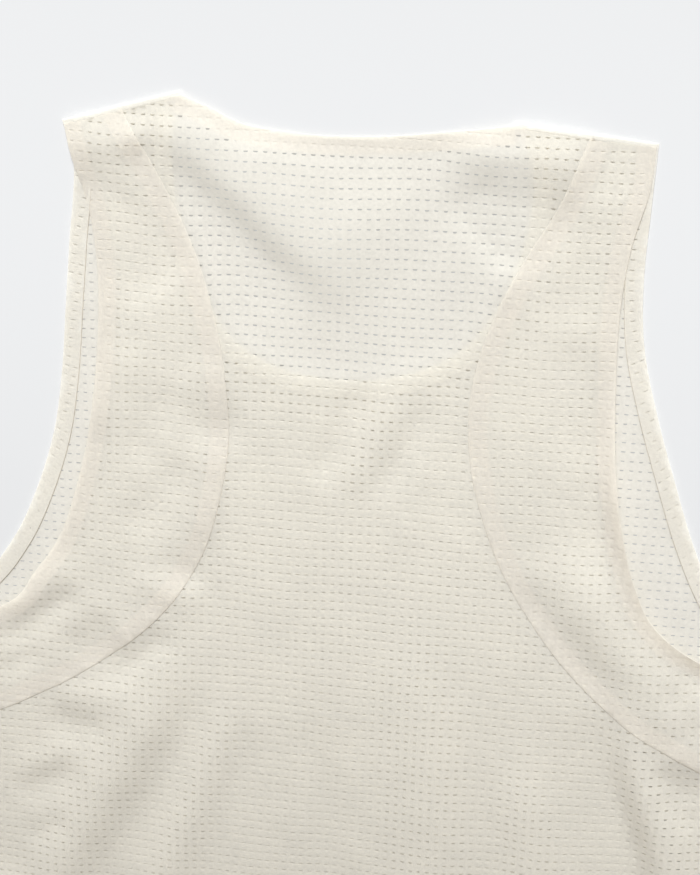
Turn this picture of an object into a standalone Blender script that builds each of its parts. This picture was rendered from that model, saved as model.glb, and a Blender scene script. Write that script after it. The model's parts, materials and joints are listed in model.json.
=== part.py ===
"""Running singlet laid flat with its back up, neck towards +Y, resting on the plane z = 0.

The front lies underneath and wraps over the shoulder and side edges. On it lie the back centre
panel and the two crescent-shaped back side panels, which follow one shared height, with soft folds.
"""

import math
from collections import namedtuple

import bmesh
import bpy
from mathutils import Vector

MM = 0.001

# Driving sizes in millimetres. "Up" is measured from the hem, "out" from the centre line.
LENGTH = 692.0             # hem to the highest point of the shoulder
CHEST_HALF = 255.0         # half of the flat width at the underarm
HEM_HALF = 262.0           # half of the flat width at the hem
WALL = 1.0                 # cloth wall
SEAM_GAP = 0.3             # between pieces at a seam
HEM_BAND = 9.0             # turned hem at neck and armholes
BOTTOM_BAND = 20.0         # turned hem at the bottom
SEAM_BAND = 10.0           # allowance pressed to the side panel's side of its seam
BAND_RISE = 0.4            # how much a turned hem or an allowance raises the cloth
BAND_STEP = 0.6            # width over which that rise ends
RIM_WIDTH = 2.6            # roll of the front's cloth along the side and shoulder edges
RIM_STEP = 0.3             # width over which the roll drops to the flat cloth
RIM_TOP = 3.0              # height of that roll
ROLL_FADE = 14.0           # length over which the roll flattens towards a corner

# Heights of the back cloth's underside above the resting plane.
EDGE_REST = 1.75           # at the shoulders, side seams and hem
BODY_REST = 3.6            # away from them
SETTLE = 45.0              # distance over which the cloth comes down to its edges
HIGHEST_REST = 4.9         # top of the highest fold's underside

SIDE_SEAM_UP = 308.0       # where the panel seams meet the side seams
DOUBLING_UP = 392.0        # below this the back centre's sections have twice the spots
BACK_COLUMNS = 24
SEAM_SECTIONS = 28
BODY_SECTIONS = 12
SIDE_PANEL_COLUMNS = 4
ARMHOLE_GAPS = 18          # straight stretches along each edge of the front
FRONT_NECK_GAPS = 30
SIDE_GAPS = 4
CURVE_DETAIL = 24          # samples between two control points when a curve is measured
FOLD_DETAIL = 6            # stretches of a fold's path for each of its points
FOLD_REACH = 3.0           # a fold ends at this many of its half widths
FOLD_END = 0.08            # share of its half wave that a fold has at its two ends
MITRE_LIMIT = 0.35         # least cosine at a corner that is moved sideways
SHARP_ANGLE = 35.0         # degrees between two faces, above which their edge is sharp

SIDES = {"left": -1.0, "right": 1.0}

ShoulderSize = namedtuple("ShoulderSize", "tip_out tip_up neck_out neck_up")
SHOULDERS = {
    "left": ShoulderSize(tip_out=150.0, tip_up=674.0, neck_out=89.0, neck_up=692.0),
    "right": ShoulderSize(tip_out=147.0, tip_up=679.0, neck_out=77.0, neck_up=686.0),
}
UNDERARM_UP = {"left": 370.0, "right": 382.0}

# Distance of an edge from the centre line, section by section from the shoulder down.
EdgeRow = namedtuple("EdgeRow", "up left right")
BACK_ARMHOLE = [
    EdgeRow(up=655.0, left=145.0, right=144.5),
    EdgeRow(up=625.0, left=136.5, right=137.5),
    EdgeRow(up=590.0, left=133.0, right=134.5),
    EdgeRow(up=550.0, left=134.5, right=135.5),
    EdgeRow(up=510.0, left=139.5, right=138.5),
    EdgeRow(up=475.0, left=147.5, right=144.5),
    EdgeRow(up=445.0, left=157.5, right=153.0),
    EdgeRow(up=420.0, left=173.5, right=166.5),
    EdgeRow(up=400.0, left=190.5, right=197.0),
]
FRONT_ARMHOLE = [
    EdgeRow(up=650.0, left=144.5, right=146.0),
    EdgeRow(up=610.0, left=148.0, right=145.0),
    EdgeRow(up=575.0, left=151.0, right=148.0),
    EdgeRow(up=540.0, left=154.0, right=157.0),
    EdgeRow(up=505.0, left=159.5, right=168.5),
    EdgeRow(up=470.0, left=170.5, right=181.0),
    EdgeRow(up=440.0, left=184.5, right=195.0),
    EdgeRow(up=412.0, left=206.0, right=214.0),
]
PANEL_SEAM = [
    EdgeRow(up=645.0, left=98.5, right=101.0),
    EdgeRow(up=610.0, left=82.0, right=82.5),
    EdgeRow(up=575.0, left=71.5, right=68.5),
    EdgeRow(up=540.0, left=65.5, right=62.0),
    EdgeRow(up=505.0, left=64.2, right=63.7),
    EdgeRow(up=470.0, left=69.5, right=73.0),
    EdgeRow(up=440.0, left=78.5, right=86.0),
    EdgeRow(up=410.0, left=95.5, right=105.0),
    EdgeRow(up=385.0, left=118.0, right=125.5),
    EdgeRow(up=362.0, left=147.0, right=152.0),
    EdgeRow(up=345.0, left=174.0, right=181.0),
    EdgeRow(up=332.0, left=198.0, right=205.0),
]
PANEL_SEAM_TOP_OUT = {"left": 119.0, "right": 114.0}

# Neck edges from the left to the right, between the shoulders' neck points.
NeckSpot = namedtuple("NeckSpot", "x up")
BACK_NECK = [
    NeckSpot(x=-74.0, up=684.5),
    NeckSpot(x=-56.0, up=677.0),
    NeckSpot(x=-28.0, up=674.0),
    NeckSpot(x=-6.0, up=673.7),
    NeckSpot(x=22.0, up=675.8),
    NeckSpot(x=52.0, up=680.0),
]
FRONT_NECK = [
    NeckSpot(x=-93.0, up=665.0),
    NeckSpot(x=-92.0, up=640.0),
    NeckSpot(x=-84.5, up=613.0),
    NeckSpot(x=-76.0, up=587.0),
    NeckSpot(x=-61.5, up=564.0),
    NeckSpot(x=-35.0, up=550.0),
    NeckSpot(x=-2.0, up=546.5),
    NeckSpot(x=30.0, up=552.5),
    NeckSpot(x=56.0, up=567.0),
    NeckSpot(x=72.0, up=589.0),
    NeckSpot(x=82.0, up=613.0),
    NeckSpot(x=87.5, up=638.0),
    NeckSpot(x=87.0, up=664.0),
]

# Folds of the back cloth: a ridge has a height above zero, a trough below it.
Fold = namedtuple("Fold", "name height half_width path")
FOLDS = [
    Fold("neck_trough_left", -0.9, 13.0, [(-98, 672), (-71, 643), (-45, 619), (-22, 602), (6, 587)]),
    Fold("neck_ridge_left", 1.1, 14.0, [(-62, 668), (-33, 638), (-8, 610)]),
    Fold("strap_ridge_left", 1.0, 14.0, [(-106, 645), (-84, 612), (-62, 582)]),
    Fold("tip_trough_left", -1.6, 12.0, [(-141, 664), (-124, 648), (-96, 612)]),
    Fold("shoulder_pocket_right", -1.5, 14.0, [(70, 680), (82, 660), (88, 640)]),
    Fold("pocket_lip_right", 1.2, 13.0, [(58, 654), (72, 630), (84, 600)]),
    Fold("seam_bump_left", 1.3, 12.0, [(-86, 562), (-71, 559), (-56, 558)]),
    Fold("seam_dimple_left", -1.6, 9.0, [(-84, 529), (-71, 528), (-58, 529)]),
    Fold("seam_ridge_left", 1.2, 11.0, [(-71, 505), (-72, 484), (-78, 462)]),
    Fold("panel_trough_left", -1.6, 15.0, [(-108, 510), (-102, 478), (-80, 440)]),
    Fold("seam_roll_left", 1.2, 12.0, [(-118, 430), (-93, 425), (-76, 418)]),
    Fold("underarm_trough_left_1", -1.7, 9.0, [(-150, 424), (-173, 405), (-198, 384)]),
    Fold("underarm_ridge_left", 1.2, 11.0, [(-140, 412), (-163, 396), (-192, 368)]),
    Fold("underarm_trough_left_2", -1.6, 10.0, [(-97, 402), (-118, 381), (-140, 366)]),
    Fold("side_trough_left_1", -1.6, 10.0, [(-128, 338), (-147, 341), (-170, 348)]),
    Fold("side_ridge_left", 1.2, 13.0, [(-128, 352), (-160, 334), (-196, 312)]),
    Fold("side_trough_left_2", -1.6, 11.0, [(-158, 322), (-176, 300), (-205, 270)]),
    Fold("body_trough_left", -1.8, 17.0, [(-76, 376), (-103, 324), (-126, 280), (-150, 225), (-160, 130)]),
    Fold("body_ridge_left", 1.3, 20.0, [(-100, 380), (-140, 300), (-176, 214), (-190, 110)]),
    Fold("inner_trough_left", -1.4, 16.0, [(-56, 364), (-71, 315), (-88, 250), (-96, 120)]),
    Fold("centre_trough", -1.1, 18.0, [(-27, 366), (-25, 314), (-20, 246), (-16, 110)]),
    Fold("centre_ridge", 1.1, 24.0, [(40, 410), (49, 328), (60, 240), (64, 90)]),
    Fold("seam_trough_right", -1.7, 14.0, [(86, 452), (115, 416), (150, 376)]),
    Fold("armhole_lift_right", 1.3, 16.0, [(126, 480), (142, 440), (172, 408)]),
    Fold("body_trough_right", -1.8, 15.0, [(138, 366), (155, 321), (173, 270), (186, 170)]),
    Fold("body_ridge_right", 1.3, 17.0, [(112, 352), (128, 306), (142, 240), (150, 130)]),
    Fold("side_trough_right_1", -1.6, 10.0, [(160, 396), (180, 384), (208, 368)]),
    Fold("side_ridge_right", 1.2, 12.0, [(164, 366), (188, 350), (220, 338)]),
    Fold("side_trough_right_2", -1.6, 10.0, [(168, 342), (186, 328), (214, 306)]),
    Fold("hem_trough_left", -1.3, 22.0, [(-52, 150), (-58, 70), (-56, 8)]),
    Fold("hem_ridge_right", 1.1, 22.0, [(104, 180), (112, 90), (108, 12)]),
]

CREAM = (0.80, 0.78, 0.70, 1.0)
CREAM_SHADED = (0.74, 0.72, 0.64, 1.0)
CLOTH_ROUGHNESS = 0.78

# One spot of a wall: its place on the flat cloth and the heights of its two faces.
Spot = namedtuple("Spot", "x up under top")


def smooth_curve(points):
    """Points of a smooth curve through the control points, closely spaced."""
    knots = [Vector(p).to_2d() for p in points]
    padded = [2.0 * knots[0] - knots[1]] + knots + [2.0 * knots[-1] - knots[-2]]
    curve = []
    for before, start, end, after in zip(padded, padded[1:], padded[2:], padded[3:]):
        for step in range(CURVE_DETAIL):
            t = step / CURVE_DETAIL
            curve.append(0.5 * (2.0 * start
                                + (end - before) * t
                                + (2.0 * before - 5.0 * start + 4.0 * end - after) * t ** 2
                                + (3.0 * start - before - 3.0 * end + after) * t ** 3))
    curve.append(knots[-1])
    return curve


def at_distances(curve, distances):
    """Points of the curve at the given distances along it."""
    found = []
    walked = 0.0
    index = 0
    for distance in distances:
        while index < len(curve) - 2 and walked + (curve[index + 1] - curve[index]).length < distance:
            walked += (curve[index + 1] - curve[index]).length
            index += 1
        stretch = curve[index + 1] - curve[index]
        share = min(1.0, (distance - walked) / stretch.length)
        found.append(curve[index] + stretch * share)
    return found


def curve_length(curve):
    """Length along a curve."""
    return sum((b - a).length for a, b in zip(curve, curve[1:]))


def evenly(curve, pieces):
    """Points that divide the curve into equal pieces."""
    length = curve_length(curve)
    return at_distances(curve, [length * i / pieces for i in range(pieces + 1)])


def moved_sideways(points, distance):
    """A line of points moved to the left of its own direction."""
    moved = []
    for i, point in enumerate(points):
        before = (point - points[i - 1]).normalized() if i else None
        after = (points[i + 1] - point).normalized() if i + 1 < len(points) else None
        ways = [way for way in (before, after) if way]
        normals = [Vector((-way.y, way.x)) for way in ways]
        middle = sum(normals, Vector((0.0, 0.0))).normalized()
        moved.append(point + middle * (distance / max(MITRE_LIMIT, middle.dot(normals[0]))))
    return moved


def shoulder_tip(side):
    """Outer end of a shoulder line."""
    return Vector((SIDES[side] * SHOULDERS[side].tip_out, SHOULDERS[side].tip_up))


def shoulder_neck(side):
    """Inner end of a shoulder line, at the neck."""
    return Vector((SIDES[side] * SHOULDERS[side].neck_out, SHOULDERS[side].neck_up))


def shoulder_up(side, x):
    """Height of the shoulder line above the hem at x."""
    tip, neck = shoulder_tip(side), shoulder_neck(side)
    return tip.y + (neck.y - tip.y) * (x - tip.x) / (neck.x - tip.x)


def side_out(up):
    """Distance of the side edge from the centre line."""
    return HEM_HALF + (CHEST_HALF - HEM_HALF) * up / UNDERARM_UP["right"]


def side_point(side, up, inset=0.0):
    """Point on a side edge, or inset from it."""
    return Vector((SIDES[side] * (side_out(up) - inset), up))


def edge_rows(table, side):
    """Control points of one side of an edge table."""
    return [Vector((SIDES[side] * getattr(row, side), row.up)) for row in table]


# The back's edges lie inside the roll of the front's cloth, with the seam gap.
BACK_INSET = RIM_WIDTH + RIM_STEP + SEAM_GAP


def back_armhole_curve(side):
    """Back armhole edge from just below the shoulder line to the underarm."""
    tip = shoulder_tip(side)
    start = Vector((tip.x - SIDES[side], tip.y - BACK_INSET))
    end = side_point(side, UNDERARM_UP[side], BACK_INSET)
    return smooth_curve([start] + edge_rows(BACK_ARMHOLE, side) + [end])


def panel_seam_curve(side):
    """Seam between the back centre and a side panel, from the shoulder to the side seam."""
    x = SIDES[side] * PANEL_SEAM_TOP_OUT[side]
    start = Vector((x, shoulder_up(side, x) - BACK_INSET))
    end = side_point(side, SIDE_SEAM_UP, BACK_INSET)
    return smooth_curve([start] + edge_rows(PANEL_SEAM, side) + [end])


def front_armhole_curve(side):
    """Front armhole edge from the shoulder tip to the underarm."""
    rows = edge_rows(FRONT_ARMHOLE, side)
    return smooth_curve([shoulder_tip(side)] + rows + [side_point(side, UNDERARM_UP[side])])


def fold_paths():
    """Each fold with the smooth curve that it follows."""
    return [(fold, evenly(smooth_curve(fold.path), FOLD_DETAIL * len(fold.path))) for fold in FOLDS]


FOLD_PATHS = fold_paths()


def nearest(path, point):
    """Distance from a point to a path, and how far along the path that is, from 0 to 1."""
    best = (1e9, 0.0)
    for i, (a, b) in enumerate(zip(path, path[1:])):
        way = b - a
        share = min(1.0, max(0.0, (point - a).dot(way) / way.length_squared))
        distance = (point - a - way * share).length
        best = min(best, (distance, (i + share) / (len(path) - 1)))
    return best


def soft_step(value):
    """Smooth step from 0 to 1."""
    value = min(1.0, max(0.0, value))
    return value * value * (3.0 - 2.0 * value)


def back_under(x, up):
    """Height of the back cloth's underside: it settles to its edges and carries the folds."""
    point = Vector((x, up))
    side = "left" if x < 0.0 else "right"
    from_side = side_out(up) - abs(x)
    from_shoulder = LENGTH - up
    settle = soft_step(from_side / SETTLE) * soft_step(from_shoulder / SETTLE) * soft_step(up / SETTLE)
    if abs(x) > SHOULDERS[side].neck_out:
        settle *= soft_step((shoulder_up(side, x) - up) / SETTLE)
    folds = 0.0
    for fold, path in FOLD_PATHS:
        distance, along = nearest(path, point)
        if distance < FOLD_REACH * fold.half_width:
            fade = math.sin(math.pi * (FOLD_END + (1.0 - 2.0 * FOLD_END) * along))
            folds += fold.height * fade * math.exp(-(distance / fold.half_width) ** 2)
    height = EDGE_REST + (BODY_REST - EDGE_REST + folds) * settle
    return min(HIGHEST_REST, max(EDGE_REST, height))


def back_spot(point, rise=0.0):
    """Spot of the back cloth at a point, raised on its outer face."""
    under = back_under(point.x, point.y)
    return Spot(point.x, point.y, under, under + WALL + rise)


def row_distances(length, start_band, end_band, columns):
    """Distances along a section: a band with its step at each end and even gaps between."""
    first = start_band + BAND_STEP
    last = length - end_band - BAND_STEP
    middle = [first + (last - first) * i / columns for i in range(columns + 1)]
    return [0.0, start_band] + middle + [length - end_band, length]


def sheet(sections):
    """Flat mesh through the sections, with each spot's two heights kept on its vertex.

    A section with twice as many gaps as the one before it is joined to it with five-sided faces.
    """
    bm = bmesh.new()
    under = bm.verts.layers.float.new("under")
    top = bm.verts.layers.float.new("top")
    rows = []
    for section in sections:
        row = []
        for spot in section:
            vertex = bm.verts.new((spot.x, spot.up, 0.0))
            vertex[under] = spot.under
            vertex[top] = spot.top
            row.append(vertex)
        rows.append(row)
    for row, below in zip(rows, rows[1:]):
        if len(row) == len(below):
            for i in range(len(row) - 1):
                bm.faces.new((row[i], below[i], below[i + 1], row[i + 1]))
        else:
            for i in range(len(row) - 1):
                bm.faces.new((row[i], below[2 * i], below[2 * i + 1], below[2 * i + 2], row[i + 1]))
    return bm


def wall_object(name, flat, colour):
    """Closed wall of cloth: the flat mesh at its two heights, joined round its edge."""
    under = flat.verts.layers.float["under"]
    top = flat.verts.layers.float["top"]
    wall = bmesh.new()
    lower = {}
    upper = {}
    for vertex in flat.verts:
        x = vertex.co.x * MM
        y = (vertex.co.y - LENGTH / 2.0) * MM
        lower[vertex] = wall.verts.new((x, y, vertex[under] * MM))
        upper[vertex] = wall.verts.new((x, y, vertex[top] * MM))
    for face in flat.faces:
        wall.faces.new([upper[vertex] for vertex in face.verts])
        wall.faces.new([lower[vertex] for vertex in reversed(face.verts)])
    for edge in flat.edges:
        if edge.is_boundary:
            loop = edge.link_loops[0]
            a, b = loop.vert, loop.link_loop_next.vert
            wall.faces.new((lower[a], lower[b], upper[b], upper[a]))
    mesh = bpy.data.meshes.new(name)
    wall.to_mesh(mesh)
    wall.free()
    flat.free()
    mesh.shade_smooth()
    mesh.set_sharp_from_angle(angle=math.radians(SHARP_ANGLE))
    mesh.materials.append(cloth_material(name, colour))
    piece = bpy.data.objects.new(name, mesh)
    bpy.context.collection.objects.link(piece)
    return piece


def cloth_material(name, colour):
    """Matt cream knit."""
    material = bpy.data.materials.new(name)
    material.use_nodes = True
    shader = material.node_tree.nodes["Principled BSDF"]
    shader.inputs["Base Color"].default_value = colour
    shader.inputs["Roughness"].default_value = CLOTH_ROUGHNESS
    shader.inputs["Metallic"].default_value = 0.0
    return material


def seam_points(side):
    """Shared stations of a panel seam, with the neck hem's band at its top."""
    curve = panel_seam_curve(side)
    length = curve_length(curve)
    first = HEM_BAND + BAND_STEP
    even = [first + (length - first) * i / SEAM_SECTIONS for i in range(SEAM_SECTIONS + 1)]
    return at_distances(curve, [0.0, HEM_BAND] + even)


def armhole_points(side):
    """Stations of a back armhole that answer to those of its panel seam."""
    curve = back_armhole_curve(side)
    length = curve_length(curve)
    first = HEM_BAND + BAND_STEP
    even = [first + (length - first) * i / SEAM_SECTIONS for i in range(SEAM_SECTIONS + 1)]
    return at_distances(curve, [0.0, HEM_BAND] + even)


def back_top_edge():
    """The back centre's top edge from seam to seam: shoulder, neck, shoulder."""
    left_seam, right_seam = panel_seam_curve("left")[0], panel_seam_curve("right")[0]
    drop = Vector((0.0, BACK_INSET))
    neck = smooth_curve([shoulder_neck("left") - drop] + [Vector(spot) for spot in BACK_NECK]
                        + [shoulder_neck("right") - drop])
    return [left_seam] + neck + [right_seam]


def make_back_centre():
    """Racer-shaped panel: sections across, from the neck down to the hem."""
    left, right = seam_points("left"), seam_points("right")
    first_up = BOTTOM_BAND + BAND_STEP
    for i in range(1, BODY_SECTIONS + 1):
        up = SIDE_SEAM_UP + (first_up - SIDE_SEAM_UP) * i / BODY_SECTIONS
        left.append(side_point("left", up, BACK_INSET))
        right.append(side_point("right", up, BACK_INSET))
    for up in (BOTTOM_BAND, 0.0):
        left.append(side_point("left", up, BACK_INSET))
        right.append(side_point("right", up, BACK_INSET))
    top = evenly(back_top_edge(), BACK_COLUMNS)
    sections = []
    for index, (start, end) in enumerate(zip(left, right)):
        gaps = BACK_COLUMNS if start.y > DOUBLING_UP else 2 * BACK_COLUMNS
        fade = soft_step((start.y - SIDE_SEAM_UP) / (top[0].y - SIDE_SEAM_UP))
        banded = index < 2 or index >= len(left) - 2
        section = []
        for i in range(gaps + 1):
            share = i / gaps
            point = start.lerp(end, share)
            if gaps == BACK_COLUMNS:
                point = point + (top[i] - top[0].lerp(top[-1], share)) * fade
            section.append(back_spot(point, BAND_RISE if banded else 0.0))
        sections.append(section)
    return wall_object("back_centre", sheet(sections), CREAM)


def make_back_side(side):
    """Crescent panel: sections from the armhole to the seam, fanning round to the side seam."""
    outer = armhole_points(side)
    inner = moved_sideways(seam_points(side), SIDES[side] * SEAM_GAP)
    sections = []
    for start, end in zip(outer, inner):
        distances = row_distances((end - start).length, HEM_BAND, SEAM_BAND, SIDE_PANEL_COLUMNS)
        section = []
        for i, distance in enumerate(distances):
            banded = i < 2 or i >= len(distances) - 2
            point = start + (end - start).normalized() * distance
            section.append(back_spot(point, BAND_RISE if banded else 0.0))
        sections.append(section if side == "left" else section[::-1])
    return wall_object("back_side_" + side, sheet(sections), CREAM)


def rolled_edge(start, end, gaps):
    """Points of an edge where the cloth rolls up, flat again at its two ends."""
    way = (end - start).normalized() * ROLL_FADE
    points = [start + way, end - way]
    middle = [points[0].lerp(points[1], i / gaps) for i in range(gaps + 1)]
    return [(start, False)] + [(point, True) for point in middle] + [(end, False)]


def front_outline():
    """The front's edge, counter-clockwise from the left shoulder tip.

    Each entry is a point and whether the cloth rolls up there to its seam with the back.
    """
    left_arm = evenly(front_armhole_curve("left"), ARMHOLE_GAPS)
    right_arm = evenly(front_armhole_curve("right"), ARMHOLE_GAPS)
    neck = evenly(smooth_curve([shoulder_neck("left")] + [Vector(spot) for spot in FRONT_NECK]
                               + [shoulder_neck("right")]), FRONT_NECK_GAPS)
    corners = {side: (side_point(side, UNDERARM_UP[side]), side_point(side, 0.0)) for side in SIDES}
    outline = [(point, False) for point in left_arm[1:-1]]
    outline += rolled_edge(corners["left"][0], corners["left"][1], SIDE_GAPS)
    outline += rolled_edge(corners["right"][1], corners["right"][0], SIDE_GAPS)
    outline += [(point, False) for point in right_arm[-2:0:-1]]
    outline += rolled_edge(shoulder_tip("right"), shoulder_neck("right"), 1)
    outline += [(point, False) for point in neck[-2:0:-1]]
    outline += rolled_edge(shoulder_neck("left"), shoulder_tip("left"), 1)
    return outline


def inset_loop(points, distance):
    """A closed loop moved inwards by the same distance all round."""
    moved = []
    for i, point in enumerate(points):
        before = (point - points[i - 1]).normalized()
        after = (points[(i + 1) % len(points)] - point).normalized()
        normals = [Vector((-way.y, way.x)) for way in (before, after)]
        middle = (normals[0] + normals[1]).normalized()
        moved.append(point + middle * (distance / max(MITRE_LIMIT, middle.dot(normals[0]))))
    return moved


def make_front():
    """Flat panel underneath: rings from its rolled or hemmed edge in to the plain cloth."""
    outline = front_outline()
    points = [point for point, _ in outline]
    band_top = WALL + BAND_RISE
    rings = [
        (0.0, RIM_TOP, band_top),
        (RIM_WIDTH, RIM_TOP, band_top),
        (RIM_WIDTH + RIM_STEP, band_top, band_top),
        (HEM_BAND, band_top, band_top),
        (HEM_BAND + BAND_STEP, WALL, WALL),
    ]
    flat = bmesh.new()
    under = flat.verts.layers.float.new("under")
    top = flat.verts.layers.float.new("top")
    loops = []
    for inset, rolled_top, hemmed_top in rings:
        loop = []
        for (_, rolled), point in zip(outline, inset_loop(points, inset)):
            vertex = flat.verts.new((point.x, point.y, 0.0))
            vertex[under] = 0.0
            vertex[top] = rolled_top if rolled else hemmed_top
            loop.append(vertex)
        loops.append(loop)
    for outer, inner in zip(loops, loops[1:]):
        for i in range(len(outer)):
            j = (i + 1) % len(outer)
            flat.faces.new((outer[i], outer[j], inner[j], inner[i]))
    flat.faces.new(loops[-1])
    return wall_object("front", flat, CREAM_SHADED)


def main():
    """Clear the scene and build the four panels."""
    for old in list(bpy.data.objects):
        bpy.data.objects.remove(old, do_unlink=True)
    make_front()
    make_back_centre()
    for side in SIDES:
        make_back_side(side)


main()
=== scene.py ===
"""Looks of a perforated running singlet that lies flat with its back up.

Each panel is one thin sheet of cloth. It is laid out flat first, as it is cut, then Geometry Nodes
put in its perforations, and last it is placed on the form of its solid, with its folds and hems.
"""

import json
import math
from collections import namedtuple

import bmesh
import bpy
import numpy as np
from bpy.props import FloatProperty, FloatVectorProperty, PointerProperty
from mathutils import Matrix, Vector
from mathutils.geometry import delaunay_2d_cdt

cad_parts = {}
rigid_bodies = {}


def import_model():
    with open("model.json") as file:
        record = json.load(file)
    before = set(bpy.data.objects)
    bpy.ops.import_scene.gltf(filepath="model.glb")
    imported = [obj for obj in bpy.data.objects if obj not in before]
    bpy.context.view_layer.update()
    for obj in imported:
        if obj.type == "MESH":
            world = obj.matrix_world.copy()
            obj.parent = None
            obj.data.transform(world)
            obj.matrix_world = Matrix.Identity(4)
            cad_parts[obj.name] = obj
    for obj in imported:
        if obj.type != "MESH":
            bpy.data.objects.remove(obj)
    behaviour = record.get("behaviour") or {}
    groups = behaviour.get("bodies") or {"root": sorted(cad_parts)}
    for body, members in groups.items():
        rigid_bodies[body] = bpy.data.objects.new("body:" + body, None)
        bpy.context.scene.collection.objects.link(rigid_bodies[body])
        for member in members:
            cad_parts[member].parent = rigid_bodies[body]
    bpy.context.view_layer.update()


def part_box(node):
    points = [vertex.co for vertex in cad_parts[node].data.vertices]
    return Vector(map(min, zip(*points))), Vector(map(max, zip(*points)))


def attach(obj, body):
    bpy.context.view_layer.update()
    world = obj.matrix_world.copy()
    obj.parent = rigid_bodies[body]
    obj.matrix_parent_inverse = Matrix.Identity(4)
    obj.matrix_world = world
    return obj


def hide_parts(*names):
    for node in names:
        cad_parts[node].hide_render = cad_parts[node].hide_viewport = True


bl_info = {
    "name": "Laid running singlet",
    "version": (1, 0, 0),
    "blender": (4, 5, 0),
    "location": "View3D > Sidebar > Singlet",
    "description": "Perforated panels, turned hems and folds of a running singlet laid flat",
    "category": "Add Mesh",
}

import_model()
MM = 0.001

# Sizes in millimetres. "Up" is measured from the hem, x from the centre line.
LENGTH = (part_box("front")[1].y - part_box("front")[0].y) / MM
HEM_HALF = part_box("front")[1].x / MM
CHEST_NARROWER = 7.0       # how much narrower half the chest is than half the hem
CHEST_HALF = HEM_HALF - CHEST_NARROWER
SIDE_SEAM_UP = 308.0       # where the panel seams meet the side seams
SHOULDER_TIP = {-1: (150.0, 674.0), 1: (147.0, 679.0)}
SHOULDER_NECK = {-1: (89.0, 692.0), 1: (77.0, 686.0)}
UNDERARM_UP = {-1: 370.0, 1: 382.0}
SEAM_TOP_OUT = {-1: 119.0, 1: 114.0}
SIDES = {-1: "left", 1: "right"}

# Distance of an edge from the centre line, from the shoulder down.
EdgeRow = namedtuple("EdgeRow", "up left right")
BACK_ARMHOLE = [
    EdgeRow(up=655.0, left=145.0, right=144.5),
    EdgeRow(up=625.0, left=136.5, right=137.5),
    EdgeRow(up=590.0, left=133.0, right=134.5),
    EdgeRow(up=550.0, left=134.5, right=135.5),
    EdgeRow(up=510.0, left=139.5, right=138.5),
    EdgeRow(up=475.0, left=147.5, right=144.5),
    EdgeRow(up=445.0, left=157.5, right=153.0),
    EdgeRow(up=420.0, left=173.5, right=166.5),
    EdgeRow(up=400.0, left=190.5, right=197.0),
]
FRONT_ARMHOLE = [
    EdgeRow(up=650.0, left=144.5, right=146.0),
    EdgeRow(up=610.0, left=148.0, right=145.0),
    EdgeRow(up=575.0, left=151.0, right=148.0),
    EdgeRow(up=540.0, left=154.0, right=157.0),
    EdgeRow(up=505.0, left=159.5, right=168.5),
    EdgeRow(up=470.0, left=170.5, right=181.0),
    EdgeRow(up=440.0, left=184.5, right=195.0),
    EdgeRow(up=412.0, left=206.0, right=214.0),
]
PANEL_SEAM = [
    EdgeRow(up=645.0, left=98.5, right=101.0),
    EdgeRow(up=610.0, left=82.0, right=82.5),
    EdgeRow(up=575.0, left=71.5, right=68.5),
    EdgeRow(up=540.0, left=65.5, right=62.0),
    EdgeRow(up=505.0, left=64.2, right=63.7),
    EdgeRow(up=470.0, left=69.5, right=73.0),
    EdgeRow(up=440.0, left=78.5, right=86.0),
    EdgeRow(up=410.0, left=95.5, right=105.0),
    EdgeRow(up=385.0, left=118.0, right=125.5),
    EdgeRow(up=362.0, left=147.0, right=152.0),
    EdgeRow(up=345.0, left=174.0, right=181.0),
    EdgeRow(up=332.0, left=198.0, right=205.0),
]
BACK_NECK = [(-74.0, 684.5), (-56.0, 677.0), (-28.0, 674.0), (-6.0, 673.7), (22.0, 675.8), (52.0, 680.0)]
FRONT_NECK = [
    (-93.0, 665.0), (-92.0, 640.0), (-84.5, 613.0), (-76.0, 587.0), (-61.5, 564.0), (-35.0, 550.0),
    (-2.0, 546.5), (30.0, 552.5), (56.0, 567.0), (72.0, 589.0), (82.0, 613.0), (87.5, 638.0),
    (87.0, 664.0),
]

# Hems, laps and rolls.
HEM_BAND = 9.0             # turned hem at neck and armholes
BOTTOM_BAND = 20.0         # turned hem at the bottom
SEAM_BAND = 10.0           # allowance under a side panel along its seam
DRIFT_SETTLE = 14.0        # distance over which sheets hold to the lie of their edges
LAP = 3.0                  # how far the back centre goes under a side panel
LAP_RISE = 0.2             # how much a side panel stands up along its seam
LAP_WIDTH = 1.6            # width of that rise
LAP_DROP = 0.25            # how much lower the back centre lies under that lap
SIDE_LIFT = 0.1            # how much higher a side panel lies than the back centre
TUCK = 1.9                 # inset of the back's sheets, under the front's wrap
WRAP = 2.9                 # width of the front's cloth on the back at sides and shoulders
WRAP_TAPER = 6.0           # length over which that roll flattens at its ends
WRAP_RADIUS = 0.9          # roll of the front's cloth round the side and shoulder edges
WRAP_STEP = 30.0           # degrees between the points of that roll
WRAP_LIFT = 0.12           # height of the wrapped cloth above the back
WRAP_KEPT = 0.4            # share of the roll's height that is left at its ends
HEM_RADIUS = 0.22          # roll of a turned hem
HEM_TURNS = (45.0, 90.0, 135.0, 180.0)  # degrees round it
HEM_INSETS = [1.6, 3.4]    # first rows of a hem's hidden allowance
HEM_EVEN_FROM = 5.5        # where its even rows begin
HEM_ROW_SPACING = 4.0      # about the distance between those
BOTTOM_INSETS = (5.0, 10.0, 15.0, BOTTOM_BAND)  # rows of the front's turned bottom hem
BAND_TRIM = 12.0           # the front's neck hem ends this far from its shoulder seams
ALLOWANCE_GAP = 0.34       # between a sheet and the allowance under it
ALLOWANCE_FADE = 1.2       # length over which the allowance sinks to that gap
ALLOWANCE_SHADE = 0.15      # share of the cut edges' darker tone painted on an allowance, as painted shade seen through the perforations
NECK_GAP = 0.55            # how much further the front lies under the back at its own neck hem
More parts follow.
